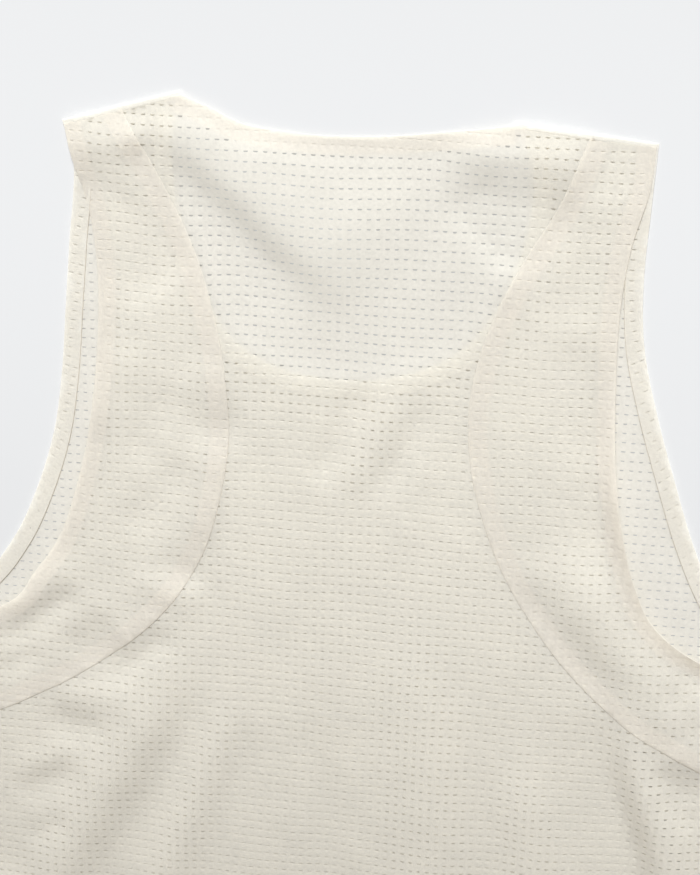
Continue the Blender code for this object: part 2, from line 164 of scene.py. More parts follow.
NECK_REACH = 22.0          # distance over which that ends
NECK_KEPT = 0.4            # share of it over which it doesn't change
BAND_GAP = 0.25            # how much more there is between the front and its turned bands
BAND_OPENS = 3.6           # distance from the fold over which that opens
BAND_LIGHT = (0.0, 0.0, 1.0)  # share of the hem's painted light tone on the two armhole bands and the neck's, a painted shine where the neck band shows through the back
BAND_GROWN = 1e-4          # share by which a band's outline is widened to find its points
BAND_NEAR = 0.02           # distance at which a point counts as on that outline
RAW_EDGE = 0.25            # width of the cut edge of an allowance
RAW_ROUND = 0.05           # rounding of that edge
RAW_FALL = 0.5             # cloth between that edge and the end of the allowance

# Heights of the cloth above the surface that it lies on.
FRONT_HEIGHT = 0.9         # the front's inner face where no back holds it up
FRONT_MOST = 2.5           # the front puffs up to this height under the back
LAYER_GAP = 0.8            # between the two layers there
CLOSE_GAP = 0.5            # the same at the upper back, where they lie closer
CLOSE_FROM = 435.0         # where the layers begin to draw together
CLOSE_REACH = 60.0         # distance over which they do
SEAM_GAP = 2.0             # between them along a shoulder seam, which lifts off the table in folds
SEAM_LIFT = 30.0           # how far from the seam the front lifts with it
SOFTENED = 0.2             # how softly a trough ends at the least height
EDGE_HEIGHT = 1.9          # the back's outer face at shoulders, sides and hem
BODY_HEIGHT = 3.0          # away from them
ARMHOLE_HEIGHT = 2.6       # along the back's armholes
NECK_HEIGHT = 0.9          # and along its neck
BARE_HEIGHT = 1.9          # where no front lies under the back
SHOULDER_HEIGHT = 1.15     # along the shoulder seams
LEAST_HEIGHT = 1.4         # a deep trough just clears the front
LEAST_OPEN = 0.8           # and the surface below, where there is no front under it
BARE_START = 6.0           # how far below the front's neck it begins to sink
OPEN_REACH = 16.0          # distance over which that changes
LOW_DROP = 0.5             # how much lower the front lies at its neck and shoulders
NECK_SETTLE = 40.0         # distance over which the back comes down to its neck
SETTLE = 45.0              # distance over which the back comes down to its sewn edges
FREE_SETTLE = 24.0         # the same at its open edges
FOLD_SETTLE = 22.0         # distance over which folds flatten towards sewn edges
FRONT_SETTLE = 30.0        # distance over which the front comes down to its sewn edges
EDGE_FOLD = 0.3            # share of a fold's height that is left there
NECK_HOLD = 16.0           # distance over which they flatten towards the neck edge
FOLD_REACH = 3.0           # a fold ends at this many of its widths
FOLD_END = 0.3             # share of a fold's length in which it rises or dies away
OPEN_SOONER = 2.0          # how much sooner an open edge has its height than the body beside it
FRONT_UNEVEN = 0.5         # share of the back's fine unevenness that the front has
FRONT_WAVES = 1.3          # how much closer its waves are

# Fine unevenness and drift of the limp cloth: waves of random length and way, in millimetres.
RIPPLE_SEED = 11
RIPPLE_WAVES = 14          # how many there are
RIPPLE_LENGTHS = (14.0, 44.0)
DRIFT_SEED = 5
DRIFT_WAVES = 9            # how many there are
DRIFT_LENGTHS = (38.0, 120.0)
DRIFT_ASIDE = 0.35         # most of the sideways share of a drift
DRIFT_HELD = 0.2           # share of the settling distance that doesn't drift at all

SPACING = 3.0              # between the points of an outline
COARSE_SPACING = 7.0       # between the points of a line that distances are measured from
CURVE_DETAIL = 16          # samples between two control points
HOLE_CLEARANCE = 0.45      # least cloth between a perforation and an edge
CELL_CLEARANCE = 0.6       # least distance from a whole cell to an edge
CELL_KINDS = 12            # perforations that differ a little in size and tilt
KINDS_SEED = 3             # of those differences
PICK_SEED = 7              # of which kind each cell has
WIDTH_SHARES = (0.86, 1.06)
HEIGHT_SHARES = (0.85, 1.12)
MOST_SHIFT = 0.13          # of a perforation from its cell's middle, in millimetres
MOST_TILT = 0.07           # rise of a perforation along its width
SAME_POINT = 0.05          # two points of an outline closer than this are one
ON_HOLE = 0.01             # distance at which a point counts as on a perforation's edge
CUT_LIMIT = 1e-5           # least distance between points when a sheet is cut out
MERGE_DISTANCE = 0.004     # between points of neighbouring cells
WELD_DISTANCE = 0.006      # between points of a roll and its sheet
MASK_STEP = 2.0            # width over which the painted light tone of a turned hem ends

# A perforation's shape: shares of its height above and below its middle, and of its half width
# and its lower height at the two spots of its rounded lower side.
HOLE_ABOVE = 0.42
HOLE_BELOW = 0.58
HOLE_CORNER = (0.92, 0.3)
HOLE_FOOT = 0.55

# The perforations' lattice on each piece: where one of them lies, how far the rows are turned and
# the share of the full height that its perforations have.
Lattice = namedtuple("Lattice", "x up turn tall")
LATTICES = {
    "front": Lattice(x=2.3, up=400.85, turn=0.0, tall=0.9),
    "back_centre": Lattice(x=-26.36, up=567.1, turn=0.0, tall=1.12),
    "back_side_left": Lattice(x=-105.0, up=500.0, turn=-1.2, tall=0.95),
    "back_side_right": Lattice(x=105.0, up=500.0, turn=1.2, tall=0.95),
}

# Folds of the back: height above or below the cloth round it, and its width to the left and the
# right of the path's direction, narrow where the cloth is steep.
Fold = namedtuple("Fold", "name height left right path")
FOLDS = [
    Fold("neck_dome_left", 4.6, 44.0, 18.0, [
        (-124, 690), (-102, 679), (-82, 667), (-62, 652), (-45, 636), (-28, 619), (-6, 601), (20, 583)]),
    Fold("neck_flank_left", -1.8, 10.0, 26.0, [
        (-122, 664), (-100, 655), (-82, 643), (-66, 628), (-52, 613), (-36, 601), (-8, 588)]),
    Fold("tip_crest_left", 3.6, 10.0, 16.0, [(-160, 668), (-140, 670), (-120, 670), (-102, 662)]),
    Fold("tip_hollow_left", -3.4, 12.0, 26.0, [
        (-154, 638), (-136, 634), (-120, 622), (-102, 605), (-86, 592)]),
    Fold("pocket_crest_right", 5.0, 12.0, 26.0, [(38, 688), (58, 684), (82, 682), (104, 680), (130, 676)]),
    Fold("pocket_right", -2.8, 19.0, 12.0, [(46, 656), (60, 642), (80, 624), (95, 639), (110, 656)]),
    Fold("pocket_lip_right", 0.7, 9.0, 18.0, [(40, 640), (54, 627), (71, 611), (86, 592)]),
    Fold("strap_hollow_right", -1.0, 10.0, 11.0, [(128, 650), (122, 628), (114, 600), (106, 576)]),
    Fold("armhole_hollow_right", -1.0, 9.0, 12.0, [(110, 586), (116, 556), (121, 528), (126, 500)]),
    Fold("seam_bump_left", 1.0, 10.0, 14.0, [(-90, 546), (-72, 541), (-54, 543)]),
    Fold("seam_dimple_left", -0.7, 8.0, 11.0, [(-92, 517), (-72, 514), (-52, 517)]),
    Fold("seam_ridge_left", 1.5, 8.0, 9.0, [(-70, 512), (-72, 490), (-77, 462), (-84, 440)]),
    Fold("seam_pit_left", -0.8, 8.0, 9.0, [(-106, 437), (-90, 430), (-74, 428)]),
    Fold("panel_hollow_left", -1.1, 12.0, 10.0, [(-90, 540), (-104, 514), (-118, 484)]),
    Fold("panel_hollow_left_2", -1.3, 12.0, 10.0, [(-88, 500), (-104, 470), (-124, 446)]),
    Fold("panel_crest_left", 0.9, 10.0, 12.0, [(-108, 560), (-124, 536), (-138, 500)]),
    Fold("seam_roll_left", 1.2, 9.0, 12.0, [(-124, 424), (-98, 416), (-72, 412)]),
    Fold("underarm_fold_left_1", -1.8, 8.0, 6.0, [(-146, 414), (-164, 400), (-182, 384), (-202, 374)]),
    Fold("underarm_crest_left_1", 1.4, 9.0, 8.0, [(-144, 430), (-160, 421), (-178, 406), (-198, 396)]),
    Fold("underarm_crest_left_2", 0.8, 9.0, 10.0, [(-124, 412), (-144, 400), (-164, 382)]),
    Fold("underarm_hollow_left", -1.2, 12.0, 14.0, [(-122, 390), (-140, 380), (-160, 374)]),
    Fold("underarm_fold_left_2", -1.4, 7.0, 11.0, [(-92, 394), (-108, 380), (-122, 368), (-140, 358)]),
    Fold("underarm_crest_left_3", 1.0, 8.0, 8.0, [(-100, 406), (-114, 392), (-130, 376)]),
    Fold("side_crest_left", 1.2, 12.0, 9.0, [(-112, 350), (-138, 346), (-170, 347)]),
    Fold("side_fold_left_1", -1.1, 12.0, 8.0, [(-130, 328), (-149, 327), (-172, 333)]),
    Fold("side_fold_left_2", -1.2, 10.0, 8.0, [(-150, 300), (-170, 288), (-194, 276)]),
    Fold("side_crest_left_2", 1.0, 9.0, 8.0, [(-148, 318), (-166, 306), (-190, 294)]),
    Fold("side_fold_left_3", -1.0, 8.0, 8.0, [(-156, 266), (-170, 257), (-186, 246)]),
    Fold("side_fold_left_4", -0.9, 7.0, 6.0, [(-168, 372), (-182, 366), (-200, 354)]),
    Fold("body_ridge_left", 3.5, 14.0, 19.0, [
        (-80, 404), (-97, 366), (-110, 336), (-123, 310), (-135, 289), (-147, 266), (-158, 243),
        (-176, 195), (-190, 140)]),
    Fold("body_trough_left", -1.6, 16.0, 12.0, [
        (-70, 372), (-84, 336), (-96, 308), (-108, 283), (-121, 257), (-134, 231), (-150, 186),
        (-162, 130)]),
    Fold("inner_ridge_left", 1.9, 10.0, 13.0, [
        (-56, 370), (-68, 332), (-78, 302), (-88, 270), (-98, 238), (-112, 180)]),
    Fold("inner_trough_left", -0.8, 16.0, 10.0, [
        (-46, 352), (-54, 316), (-63, 284), (-73, 248), (-86, 180)]),
    Fold("centre_trough", -1.7, 14.0, 9.0, [(-24, 372), (-18, 334), (-10, 292), (-4, 214), (-2, 120)]),
    Fold("centre_streak_left", -1.1, 8.0, 7.0, [(8, 552), (-4, 520), (-20, 482)]),
    Fold("centre_streak_right", -1.1, 8.0, 7.0, [(42, 544), (31, 512), (14, 478)]),
    Fold("centre_crest", 1.1, 8.0, 8.0, [(24, 546), (14, 514), (-2, 480)]),
    Fold("centre_ridge", 2.3, 17.0, 21.0, [(40, 430), (45, 350), (54, 250), (60, 120)]),
    Fold("armhole_flare_right", 5.4, 8.0, 7.0, [
        (142, 566), (141, 535), (142, 508), (145, 484), (152, 461), (163, 438), (180, 418), (204, 405),
        (240, 398), (285, 394)]),
    Fold("armhole_valley_right", -1.6, 7.0, 14.0, [
        (122, 540), (124, 508), (129, 482), (136, 456), (147, 431), (163, 409), (188, 393), (220, 385),
        (260, 380)]),
    Fold("panel_ridge_right", 4.3, 20.0, 24.0, [
        (102, 468), (114, 453), (129, 437), (144, 418), (160, 397), (175, 374), (189, 350), (200, 326)]),
    Fold("seam_foot_right", -1.6, 11.0, 8.0, [(90, 446), (108, 421), (127, 397), (152, 371)]),
    Fold("body_trough_right", -2.4, 10.0, 26.0, [
        (130, 372), (138, 346), (146, 320), (154, 296), (162, 270), (175, 200), (183, 140)]),
    Fold("body_ridge_right", 6.2, 15.0, 10.0, [
        (148, 384), (157, 354), (165, 328), (173, 304), (181, 280), (194, 214), (204, 140)]),
    Fold("side_fold_right_1", -1.4, 9.0, 8.0, [(172, 392), (183, 372), (200, 350)]),
    Fold("side_crest_right", 1.2, 9.0, 9.0, [(172, 350), (188, 342), (210, 336)]),
    Fold("side_fold_right_2", -0.8, 6.0, 6.0, [(170, 338), (182, 326), (198, 314)]),
    Fold("side_fold_right_3", -0.8, 6.0, 6.0, [(172, 322), (184, 312), (200, 300)]),
    Fold("low_ridge_right", 2.2, 14.0, 13.0, [(92, 350), (104, 300), (112, 240), (112, 150)]),
    Fold("hem_ridge_left", 2.6, 20.0, 15.0, [(-172, 196), (-166, 130), (-158, 64), (-160, 6)]),
    Fold("hem_fold_left", -1.5, 13.0, 18.0, [(-118, 150), (-112, 96), (-116, 40)]),
    Fold("hem_trough_middle", -1.6, 17.0, 22.0, [(24, 168), (16, 96), (20, 10)]),
    Fold("low_crest_left", 2.0, 12.0, 16.0, [(-226, 232), (-204, 214), (-178, 206)]),
    Fold("low_fold_right", -1.6, 12.0, 10.0, [(226, 214), (206, 190), (184, 178)]),
    Fold("low_crest_right", 2.2, 13.0, 15.0, [(232, 150), (206, 128), (176, 118)]),
    Fold("hem_trough_left", -1.8, 20.0, 21.0, [(-52, 150), (-58, 70), (-56, 8)]),
    Fold("hem_ridge_right", 1.6, 20.0, 21.0, [(104, 150), (112, 80), (108, 12)]),
]

# The camera, fitted to the rows of perforations: its place and its axes in the row frame.
CAMERA_PLACE = (0.13693, 0.55478, 0.96079)
CAMERA_RIGHT = (0.98837, 0.0233, -0.15024)
CAMERA_UP = (-0.07705, 0.92865, -0.36286)
FOCAL_PIXELS = 2000.0
IMAGE_HEIGHT = 875.0
SENSOR = 36.0

# The knit's surface, its noises in features per metre.
LOOP_SIZE = 0.5 * MM
LOOP_UNEVEN = 0.35
YARN_SCALE = 620.0
YARN_DETAIL = 2.0
CLOUD_SCALE = 26.0
CLOUD_DETAIL = 3.0
YARN_SHADE = 0.045         # how far the yarn's and the cloud's tones reach from the middle one
CLOUD_SHADE = 0.02
NOISE_LOW = 0.25
NOISE_HIGH = 0.75
KNIT_VALUES = {"Roughness": 0.82, "Sheen Weight": 0.12, "Sheen Roughness": 0.5, "Specular IOR Level": 0.25}
TABLE_VALUES = {"Roughness": 0.9, "Specular IOR Level": 0.1}
BUMP_VALUES = {"Strength": 0.5, "Distance": 0.16 * MM}
LET_THROUGH = 0.5          # share of the light that the knit lets through

# The table, the light with its spread in degrees, and the room, in metres and watts.
TABLE_HALF = 3.0
KEY_PLACE = (-0.04, 2.5, 1.85)
KEY_TARGET = (-0.02, 0.23, 0.0)
KEY_SIZE = (2.0, 0.5)
KEY_POWER = 6.85
KEY_SPREAD = 24.0
KEY_COLOUR = (0.962, 0.99, 1.0)
ROOM_COLOUR = (1.0, 0.938, 0.885, 1.0)
ROOM_STRENGTH = 0.38

# Each piece's flat cut before it was sewn and laid: width, length and area in metres.
Cut = namedtuple("Cut", "width length area")


# ---------------------------------------------------------------- sizes and colours in the panel

class SingletSizes(bpy.types.PropertyGroup):
    """Sizes that a maker would change."""

    hole_width: FloatProperty(
        name="Hole width", description="Width of one perforation",
        default=2.4 * MM, unit="LENGTH")
    hole_height: FloatProperty(
        name="Hole height", description="Height of one perforation",
        default=0.66 * MM, unit="LENGTH")
    column_pitch: FloatProperty(
        name="Column pitch", description="Distance between perforations in a row",
        default=4.8 * MM, unit="LENGTH")
    row_pitch: FloatProperty(
        name="Row pitch", description="Distance between rows of perforations",
        default=5.1 * MM, unit="LENGTH")
    fold_share: FloatProperty(
        name="Fold height", description="Share of the folds' full height",
        default=1.0, min=0.0, max=1.5, subtype="FACTOR")
    hole_dip: FloatProperty(
        name="Hole dip", description="How deep the cloth dips round a perforation",
        default=0.07 * MM, unit="LENGTH")
    ripple: FloatProperty(
        name="Ripple", description="Height of the fine unevenness of the cloth",
        default=0.07 * MM, unit="LENGTH")
    drift: FloatProperty(
        name="Drift", description="How far the limp cloth shifts in its own plane",
        default=0.8 * MM, unit="LENGTH")


class SingletColours(bpy.types.PropertyGroup):
    """Colours of the cloth and of the surface that it lies on."""

    cloth: FloatVectorProperty(
        name="Cloth", description="Cream of the knit",
        default=(0.925, 0.905, 0.85), subtype="COLOR", size=3, min=0.0, max=1.0)
    # Painted light: the tone of cloth that lies double, standing in for the light that the layers give back,
    # which lightens allowances lying in shade under the sheet.
    doubled: FloatVectorProperty(
        name="Doubled cloth", description="Warmer cream where the cloth lies double",
        default=(0.93, 0.904, 0.853), subtype="COLOR", size=3, min=0.0, max=1.0)
    inside: FloatVectorProperty(
        name="Inside", description="Paler inner side of the front's knit",
        default=(0.945, 0.925, 0.875), subtype="COLOR", size=3, min=0.0, max=1.0)
    # Painted light: a lighter copy of the front's knit for its turned hems, wraps and neck band, a painted
    # shine where that band shows through the back.
    front_hem_light: FloatVectorProperty(
        name="Front hem", description="Turned hem of the front, seen from inside",
        default=(0.985, 0.975, 0.94), subtype="COLOR", size=3, min=0.0, max=1.0)
    through: FloatVectorProperty(
        name="Light through", description="Tint of the light that comes through the knit",
        default=(1.0, 0.985, 0.955), subtype="COLOR", size=3, min=0.0, max=1.0)
    # Painted shade: a darker line along each cut edge for its contact shadow, and a share of it on the hidden
    # allowances for the shade seen through the perforations.
    edge_shade_colour: FloatVectorProperty(
        name="Cut edge", description="Darker thread ends along a cut edge",
        default=(0.86, 0.82, 0.745), subtype="COLOR", size=3, min=0.0, max=1.0)
    table: FloatVectorProperty(
        name="Table", description="Pale surface that the singlet lies on",
        default=(0.672, 0.678, 0.692), subtype="COLOR", size=3, min=0.0, max=1.0)


# ---------------------------------------------------------------- lines on the flat cloth

def respaced(line, spacing):
    """The line with evenly spaced points, its ends kept."""
    walked = np.r_[0.0, np.cumsum(np.hypot(*np.diff(line, axis=0).T))]
    count = max(1, round(walked[-1] / spacing))
    at = np.linspace(0.0, walked[-1], count + 1)
    return np.c_[np.interp(at, walked, line[:, 0]), np.interp(at, walked, line[:, 1])]


def smooth_line(points, spacing=SPACING):
    """Evenly spaced points of a smooth curve through the control points."""
    knots = np.array(points, float)
    padded = np.vstack([2.0 * knots[0] - knots[1], knots, 2.0 * knots[-1] - knots[-2]])
    t = np.linspace(0.0, 1.0, CURVE_DETAIL, endpoint=False)[:, None]
    runs = [0.5 * (2.0 * b + (c - a) * t + (2.0 * a - 5.0 * b + 4.0 * c - d) * t ** 2
                   + (3.0 * b - a - 3.0 * c + d) * t ** 3)
            for a, b, c, d in zip(padded, padded[1:], padded[2:], padded[3:])]
    return respaced(np.vstack(runs + [knots[-1:]]), spacing)


def trimmed(line, length):
    """The line without a length at each end."""
    count = max(1, round(length / SPACING))
    return line[count:-count]


def straight_line(start, end, spacing=SPACING):
    """Evenly spaced points from one point to another."""
    return respaced(np.array([start, end], float), spacing)


def inward(line):
    """Unit normals to the left of the line, which is the inside of an outline."""
    way = np.gradient(line, axis=0)
    way /= np.linalg.norm(way, axis=1)[:, None]
    return np.c_[-way[:, 1], way[:, 0]]


def soft_step(value):
    """Smooth step from 0 to 1."""
    value = np.clip(value, 0.0, 1.0)
    return value * value * (3.0 - 2.0 * value)


def beside(points, line):
    """Distance of each point to a line, positive to its left, and its share along the line."""
    near = np.full(len(points), np.inf)
    side = np.ones(len(points))
    along = np.zeros(len(points))
    ways = np.diff(line, axis=0)
    for k, (start, way) in enumerate(zip(line, ways)):
        reach = points - start
        share = np.clip(reach @ way / (way @ way), 0.0, 1.0)
        gap = reach - share[:, None] * way
        distance = np.hypot(gap[:, 0], gap[:, 1])
        closer = distance < near
        near[closer] = distance[closer]
        side[closer] = np.sign(way[0] * reach[closer, 1] - way[1] * reach[closer, 0])
        along[closer] = (k + share[closer]) / len(ways)
    return near * np.where(side < 0.0, -1.0, 1.0), along


def side_out(up):
    """Distance of the side edge from the centre line."""
    return HEM_HALF + (CHEST_HALF - HEM_HALF) * up / UNDERARM_UP[1]


def side_point(side, up, inset=0.0):
    """Point on a side edge, or inset from it."""
    return np.array((side * (side_out(up) - inset), up))


def shoulder_point(side, out, inset=0.0):
    """Point on a shoulder line at a distance from the centre line, or inset below it."""
    (tip_out, tip_up), (neck_out, neck_up) = SHOULDER_TIP[side], SHOULDER_NECK[side]
    up = tip_up + (neck_up - tip_up) * (out - tip_out) / (neck_out - tip_out)
    return np.array((side * out, up - inset))


def edge_rows(table, side):
    """Control points of one side of an edge table."""
    return [(side * getattr(row, SIDES[side]), row.up) for row in table]


def back_armhole(side):
    """Back armhole edge, downwards."""
    start = shoulder_point(side, SHOULDER_TIP[side][0] - 1.0, TUCK)
    end = side_point(side, UNDERARM_UP[side], TUCK)
    return smooth_line([start] + edge_rows(BACK_ARMHOLE, side) + [end])


def front_armhole(side):
    """Front armhole edge, downwards."""
    start = shoulder_point(side, SHOULDER_TIP[side][0])
    return smooth_line([start] + edge_rows(FRONT_ARMHOLE, side) + [side_point(side, UNDERARM_UP[side])])


def panel_seam(side):
    """Seam between the back centre and a side panel, downwards."""
    start = shoulder_point(side, SEAM_TOP_OUT[side], TUCK)
    end = side_point(side, SIDE_SEAM_UP, TUCK)
    return smooth_line([start] + edge_rows(PANEL_SEAM, side) + [end])


def back_neck():
    """Back neck edge from the right to the left."""
    left = shoulder_point(-1, SHOULDER_NECK[-1][0], TUCK)
    right = shoulder_point(1, SHOULDER_NECK[1][0], TUCK)
    return smooth_line([left] + BACK_NECK + [right])[::-1]


def front_neck():
    """Front neck edge from the right to the left."""
    left = shoulder_point(-1, SHOULDER_NECK[-1][0])
    right = shoulder_point(1, SHOULDER_NECK[1][0])
    return smooth_line([left] + FRONT_NECK + [right])[::-1]


# ---------------------------------------------------------------- height of the laid cloth

class LaidCloth:
    """Heights of the back's outer face and of the front's inner face over the flat plane."""

    def __init__(self, sizes):
        self.share = sizes.fold_share
        self.ripple = sizes.ripple / MM
        self.folds = [(fold, smooth_line(fold.path, COARSE_SPACING)) for fold in FOLDS]
        self.armholes = {side: respaced(back_armhole(side), COARSE_SPACING) for side in SIDES}
        self.seams = {side: respaced(panel_seam(side), COARSE_SPACING) for side in SIDES}
        self.neck = respaced(back_neck(), COARSE_SPACING)
        self.scoop = respaced(front_neck(), COARSE_SPACING)
        self.waves = ripple_waves()
        self.drift = sizes.drift / MM
        self.shifts = drift_waves()

    def uneven(self, points):
        """Fine unevenness, from about -1 to 1."""
        return sum(np.sin(points @ way + phase) for way, phase in self.waves) / math.sqrt(len(self.waves))

    def from_shoulders(self, points, reach):
        """0 at the shoulder seams, 1 from a reach away from them."""
        x, up = points.T
        away = np.ones(len(points))
        for side in SIDES:
            tip = shoulder_point(side, SHOULDER_TIP[side][0])
            neck = shoulder_point(side, SHOULDER_NECK[side][0])
            line_up = tip[1] + (neck[1] - tip[1]) * (x - tip[0]) / (neck[0] - tip[0])
            blend = soft_step((x * side - SHOULDER_NECK[side][0] + reach) / reach)
            away *= soft_step((line_up - up) / reach) * blend + 1.0 - blend
        return away

    def at_shoulders(self, points):
        """1 along the shoulder seams, 0 a little away from them."""
        return 1.0 - self.from_shoulders(points, OPEN_REACH)

    def sewn(self, points, reach):
        """0 at the shoulders, side seams and hem, 1 from a reach away from them."""
        x, up = points.T
        sides = soft_step((side_out(up) - abs(x)) / reach)
        return sides * soft_step(up / reach) * self.from_shoulders(points, reach)

    def back(self, points):
        """Outer face of the back."""
        sewn = self.sewn(points, SETTLE)
        height = EDGE_HEIGHT + (BODY_HEIGHT - EDGE_HEIGHT) * sewn
        for side in SIDES:
            inside = abs(beside(points, self.armholes[side])[0])
            free = 1.0 - soft_step(inside / FREE_SETTLE)
            height += (ARMHOLE_HEIGHT - height) * free * soft_step(sewn * OPEN_SOONER)
        bare = soft_step((BARE_START - beside(points, self.scoop)[0]) / OPEN_REACH)
        height += (BARE_HEIGHT - height) * bare
        height += (SHOULDER_HEIGHT - height) * (1.0 - self.from_shoulders(points, SETTLE))
        free = 1.0 - soft_step(abs(beside(points, self.neck)[0]) / NECK_SETTLE)
        height += (NECK_HEIGHT - height) * free * soft_step(sewn * OPEN_SOONER)
        folds = self.ripple * self.uneven(points)
        for fold, line in self.folds:
            widest = FOLD_REACH * max(fold.left, fold.right)
            low, high = line.min(0) - widest, line.max(0) + widest
            chosen = np.flatnonzero(((points > low) & (points < high)).all(1))
            if len(chosen):
                distance, along = beside(points[chosen], line)
                width = np.where(distance > 0.0, fold.left, fold.right)
                fade = soft_step(along / FOLD_END) * soft_step((1.0 - along) / FOLD_END)
                folds[chosen] += fold.height * self.share * fade * np.exp(-(distance / width) ** 2)
        held = self.sewn(points, FOLD_SETTLE) * soft_step(abs(beside(points, self.neck)[0]) / NECK_HOLD)
        height += folds * (EDGE_FOLD + (1.0 - EDGE_FOLD) * held)
        least = LEAST_HEIGHT + (LEAST_OPEN - LEAST_HEIGHT) * np.maximum(bare, self.at_shoulders(points))
        over = height - least
        return least + 0.5 * (over + np.sqrt(over ** 2 + SOFTENED * least ** 2))

    def drifted(self, points, outline):
        """Points of a sheet where the limp cloth has shifted in its own plane, but not at its edges."""
        loop = np.vstack([outline, outline[:1]])
        inside = abs(beside(points, respaced(loop, COARSE_SPACING))[0])
        hold = soft_step(inside / DRIFT_SETTLE - DRIFT_HELD)
        shift = sum(np.outer(np.sin(points @ way + phase), across) for way, phase, across in self.shifts)
        return points + shift * (hold * self.drift)[:, None]

    def back_centre(self, points):
        """Back centre, which goes under the side panels along its seams."""
        height = self.back(points)
        for side in SIDES:
            beyond = beside(points, self.seams[side])[0] * side
            height -= LAP_DROP * soft_step(beyond / LAP)
        return height

    def back_side(self, side):
        """Height function of a side panel, which stands up along its seam."""
        def height(points):
            inside = abs(beside(points, self.seams[side])[0])
            return self.back(points) + SIDE_LIFT + LAP_RISE * np.exp(-(inside / LAP_WIDTH) ** 2)
        return height

    def front(self, points):
        """Inner face of the front: on the table at its edges, and close under the back elsewhere."""
        covered = self.sewn(points, FRONT_SETTLE)
        for side in SIDES:
            inside = beside(points, self.armholes[side])[0] * -side
            covered = covered * soft_step(inside / FREE_SETTLE)
        back = self.back(points)
        hemmed = 1.0 - soft_step(abs(beside(points, self.scoop)[0]) / NECK_REACH - NECK_KEPT)
        low = FRONT_HEIGHT - LOW_DROP * np.maximum(hemmed, self.at_shoulders(points))
        low += FRONT_UNEVEN * self.ripple * (1.0 + self.uneven(points * FRONT_WAVES))
        gap = LAYER_GAP + (CLOSE_GAP - LAYER_GAP) * soft_step((points[:, 1] - CLOSE_FROM) / CLOSE_REACH)
        under = np.minimum(back - gap, FRONT_MOST) - NECK_GAP * hemmed
        puffed = low + np.maximum(under - low, 0.0) * covered
        lifted = 1.0 - self.from_shoulders(points, SEAM_LIFT)
        return puffed + np.maximum(back - SEAM_GAP - puffed, 0.0) * lifted


def random_way(spread, length):
    """Random way of a wave, with the steepness that its length gives."""
    turn = spread.uniform(0.0, 2.0 * math.pi)
    return np.array((math.cos(turn), math.sin(turn))) * 2.0 * math.pi / length


def ripple_waves():
    """Ways and phases of the waves that add up to the cloth's unevenness."""
    spread = np.random.default_rng(RIPPLE_SEED)
    waves = []
    for _ in range(RIPPLE_WAVES):
        way = random_way(spread, spread.uniform(*RIPPLE_LENGTHS))
        waves.append((way, spread.uniform(0.0, 2.0 * math.pi)))
    return waves


def drift_waves():
    """Ways, phases and directions of the waves by which the cloth shifts in its own plane."""
    spread = np.random.default_rng(DRIFT_SEED)
    waves = []
    for length in np.linspace(*DRIFT_LENGTHS, DRIFT_WAVES):
        way = random_way(spread, length)
        across = np.array((spread.uniform(-DRIFT_ASIDE, DRIFT_ASIDE), spread.uniform(-1.0, 1.0))) / 2.0
        waves.append((way, spread.uniform(0.0, 2.0 * math.pi), across))
    return waves


# ---------------------------------------------------------------- perforated flat cloth

def closed(runs):
    """One outline from the runs of points, without the doubled points where two runs meet."""
    points = np.vstack(runs)
    keep = np.hypot(*(points - np.roll(points, 1, axis=0)).T) > SAME_POINT
    return points[keep]


def within(points, outline):
    """True for each point inside the outline."""
    inside = np.zeros(len(points), bool)
    x, up = points.T
    for (x0, up0), (x1, up1) in zip(outline, np.roll(outline, -1, axis=0)):
        crosses = (up0 > up) != (up1 > up)
        if crosses.any():
            at = x0 + (up - up0) * (x1 - x0) / (up1 - up0 if up1 != up0 else 1.0)
            inside ^= crosses & (x < at)
    return inside


def clear_of(points, outline, clearance):
    """True for each point inside the outline and at least the clearance from it."""
    inside = within(points, outline)
    chosen = np.flatnonzero(inside)
    loop = np.vstack([outline, outline[:1]])
    near = abs(beside(points[chosen], loop)[0]) if len(chosen) else np.zeros(0)
    inside[chosen[near < clearance]] = False
    return inside


def hole_outline(sizes, widened=1.0, heightened=1.0, shift=(0.0, 0.0), tilt=0.0):
    """A perforation: flat along its upper side, rounded below."""
    width, height = widened * sizes.hole_width / MM / 2.0, heightened * sizes.hole_height / MM
    upper, lower = HOLE_ABOVE * height, -HOLE_BELOW * height
    corner_out, corner_up = HOLE_CORNER[0] * width, HOLE_CORNER[1] * lower
    foot = HOLE_FOOT * width
    outline = np.array([(-width, upper), (width, upper), (corner_out, corner_up),
                        (foot, lower), (-foot, lower), (-corner_out, corner_up)])
    outline[:, 1] += tilt * outline[:, 0]
    return outline + shift


class Grid:
    """The lattice of a piece: places of its cells' corners and of the perforations in them."""

    def __init__(self, lattice, sizes):
        turn = math.radians(lattice.turn)
        self.origin = np.array((lattice.x, lattice.up))
        self.turned = np.array(((math.cos(turn), math.sin(turn)), (-math.sin(turn), math.cos(turn))))
        self.pitch = np.array((sizes.column_pitch, sizes.row_pitch)) / MM
        self.tall = lattice.tall
        self.hole = hole_outline(sizes, heightened=lattice.tall) @ self.turned

    def places(self, cells):
        """Places of cells given by column and row."""
        return self.origin + (np.asarray(cells, float) * self.pitch) @ self.turned

    def cells(self, points):
        """Column and row of each point, as fractions."""
        return (points - self.origin) @ self.turned.T / self.pitch


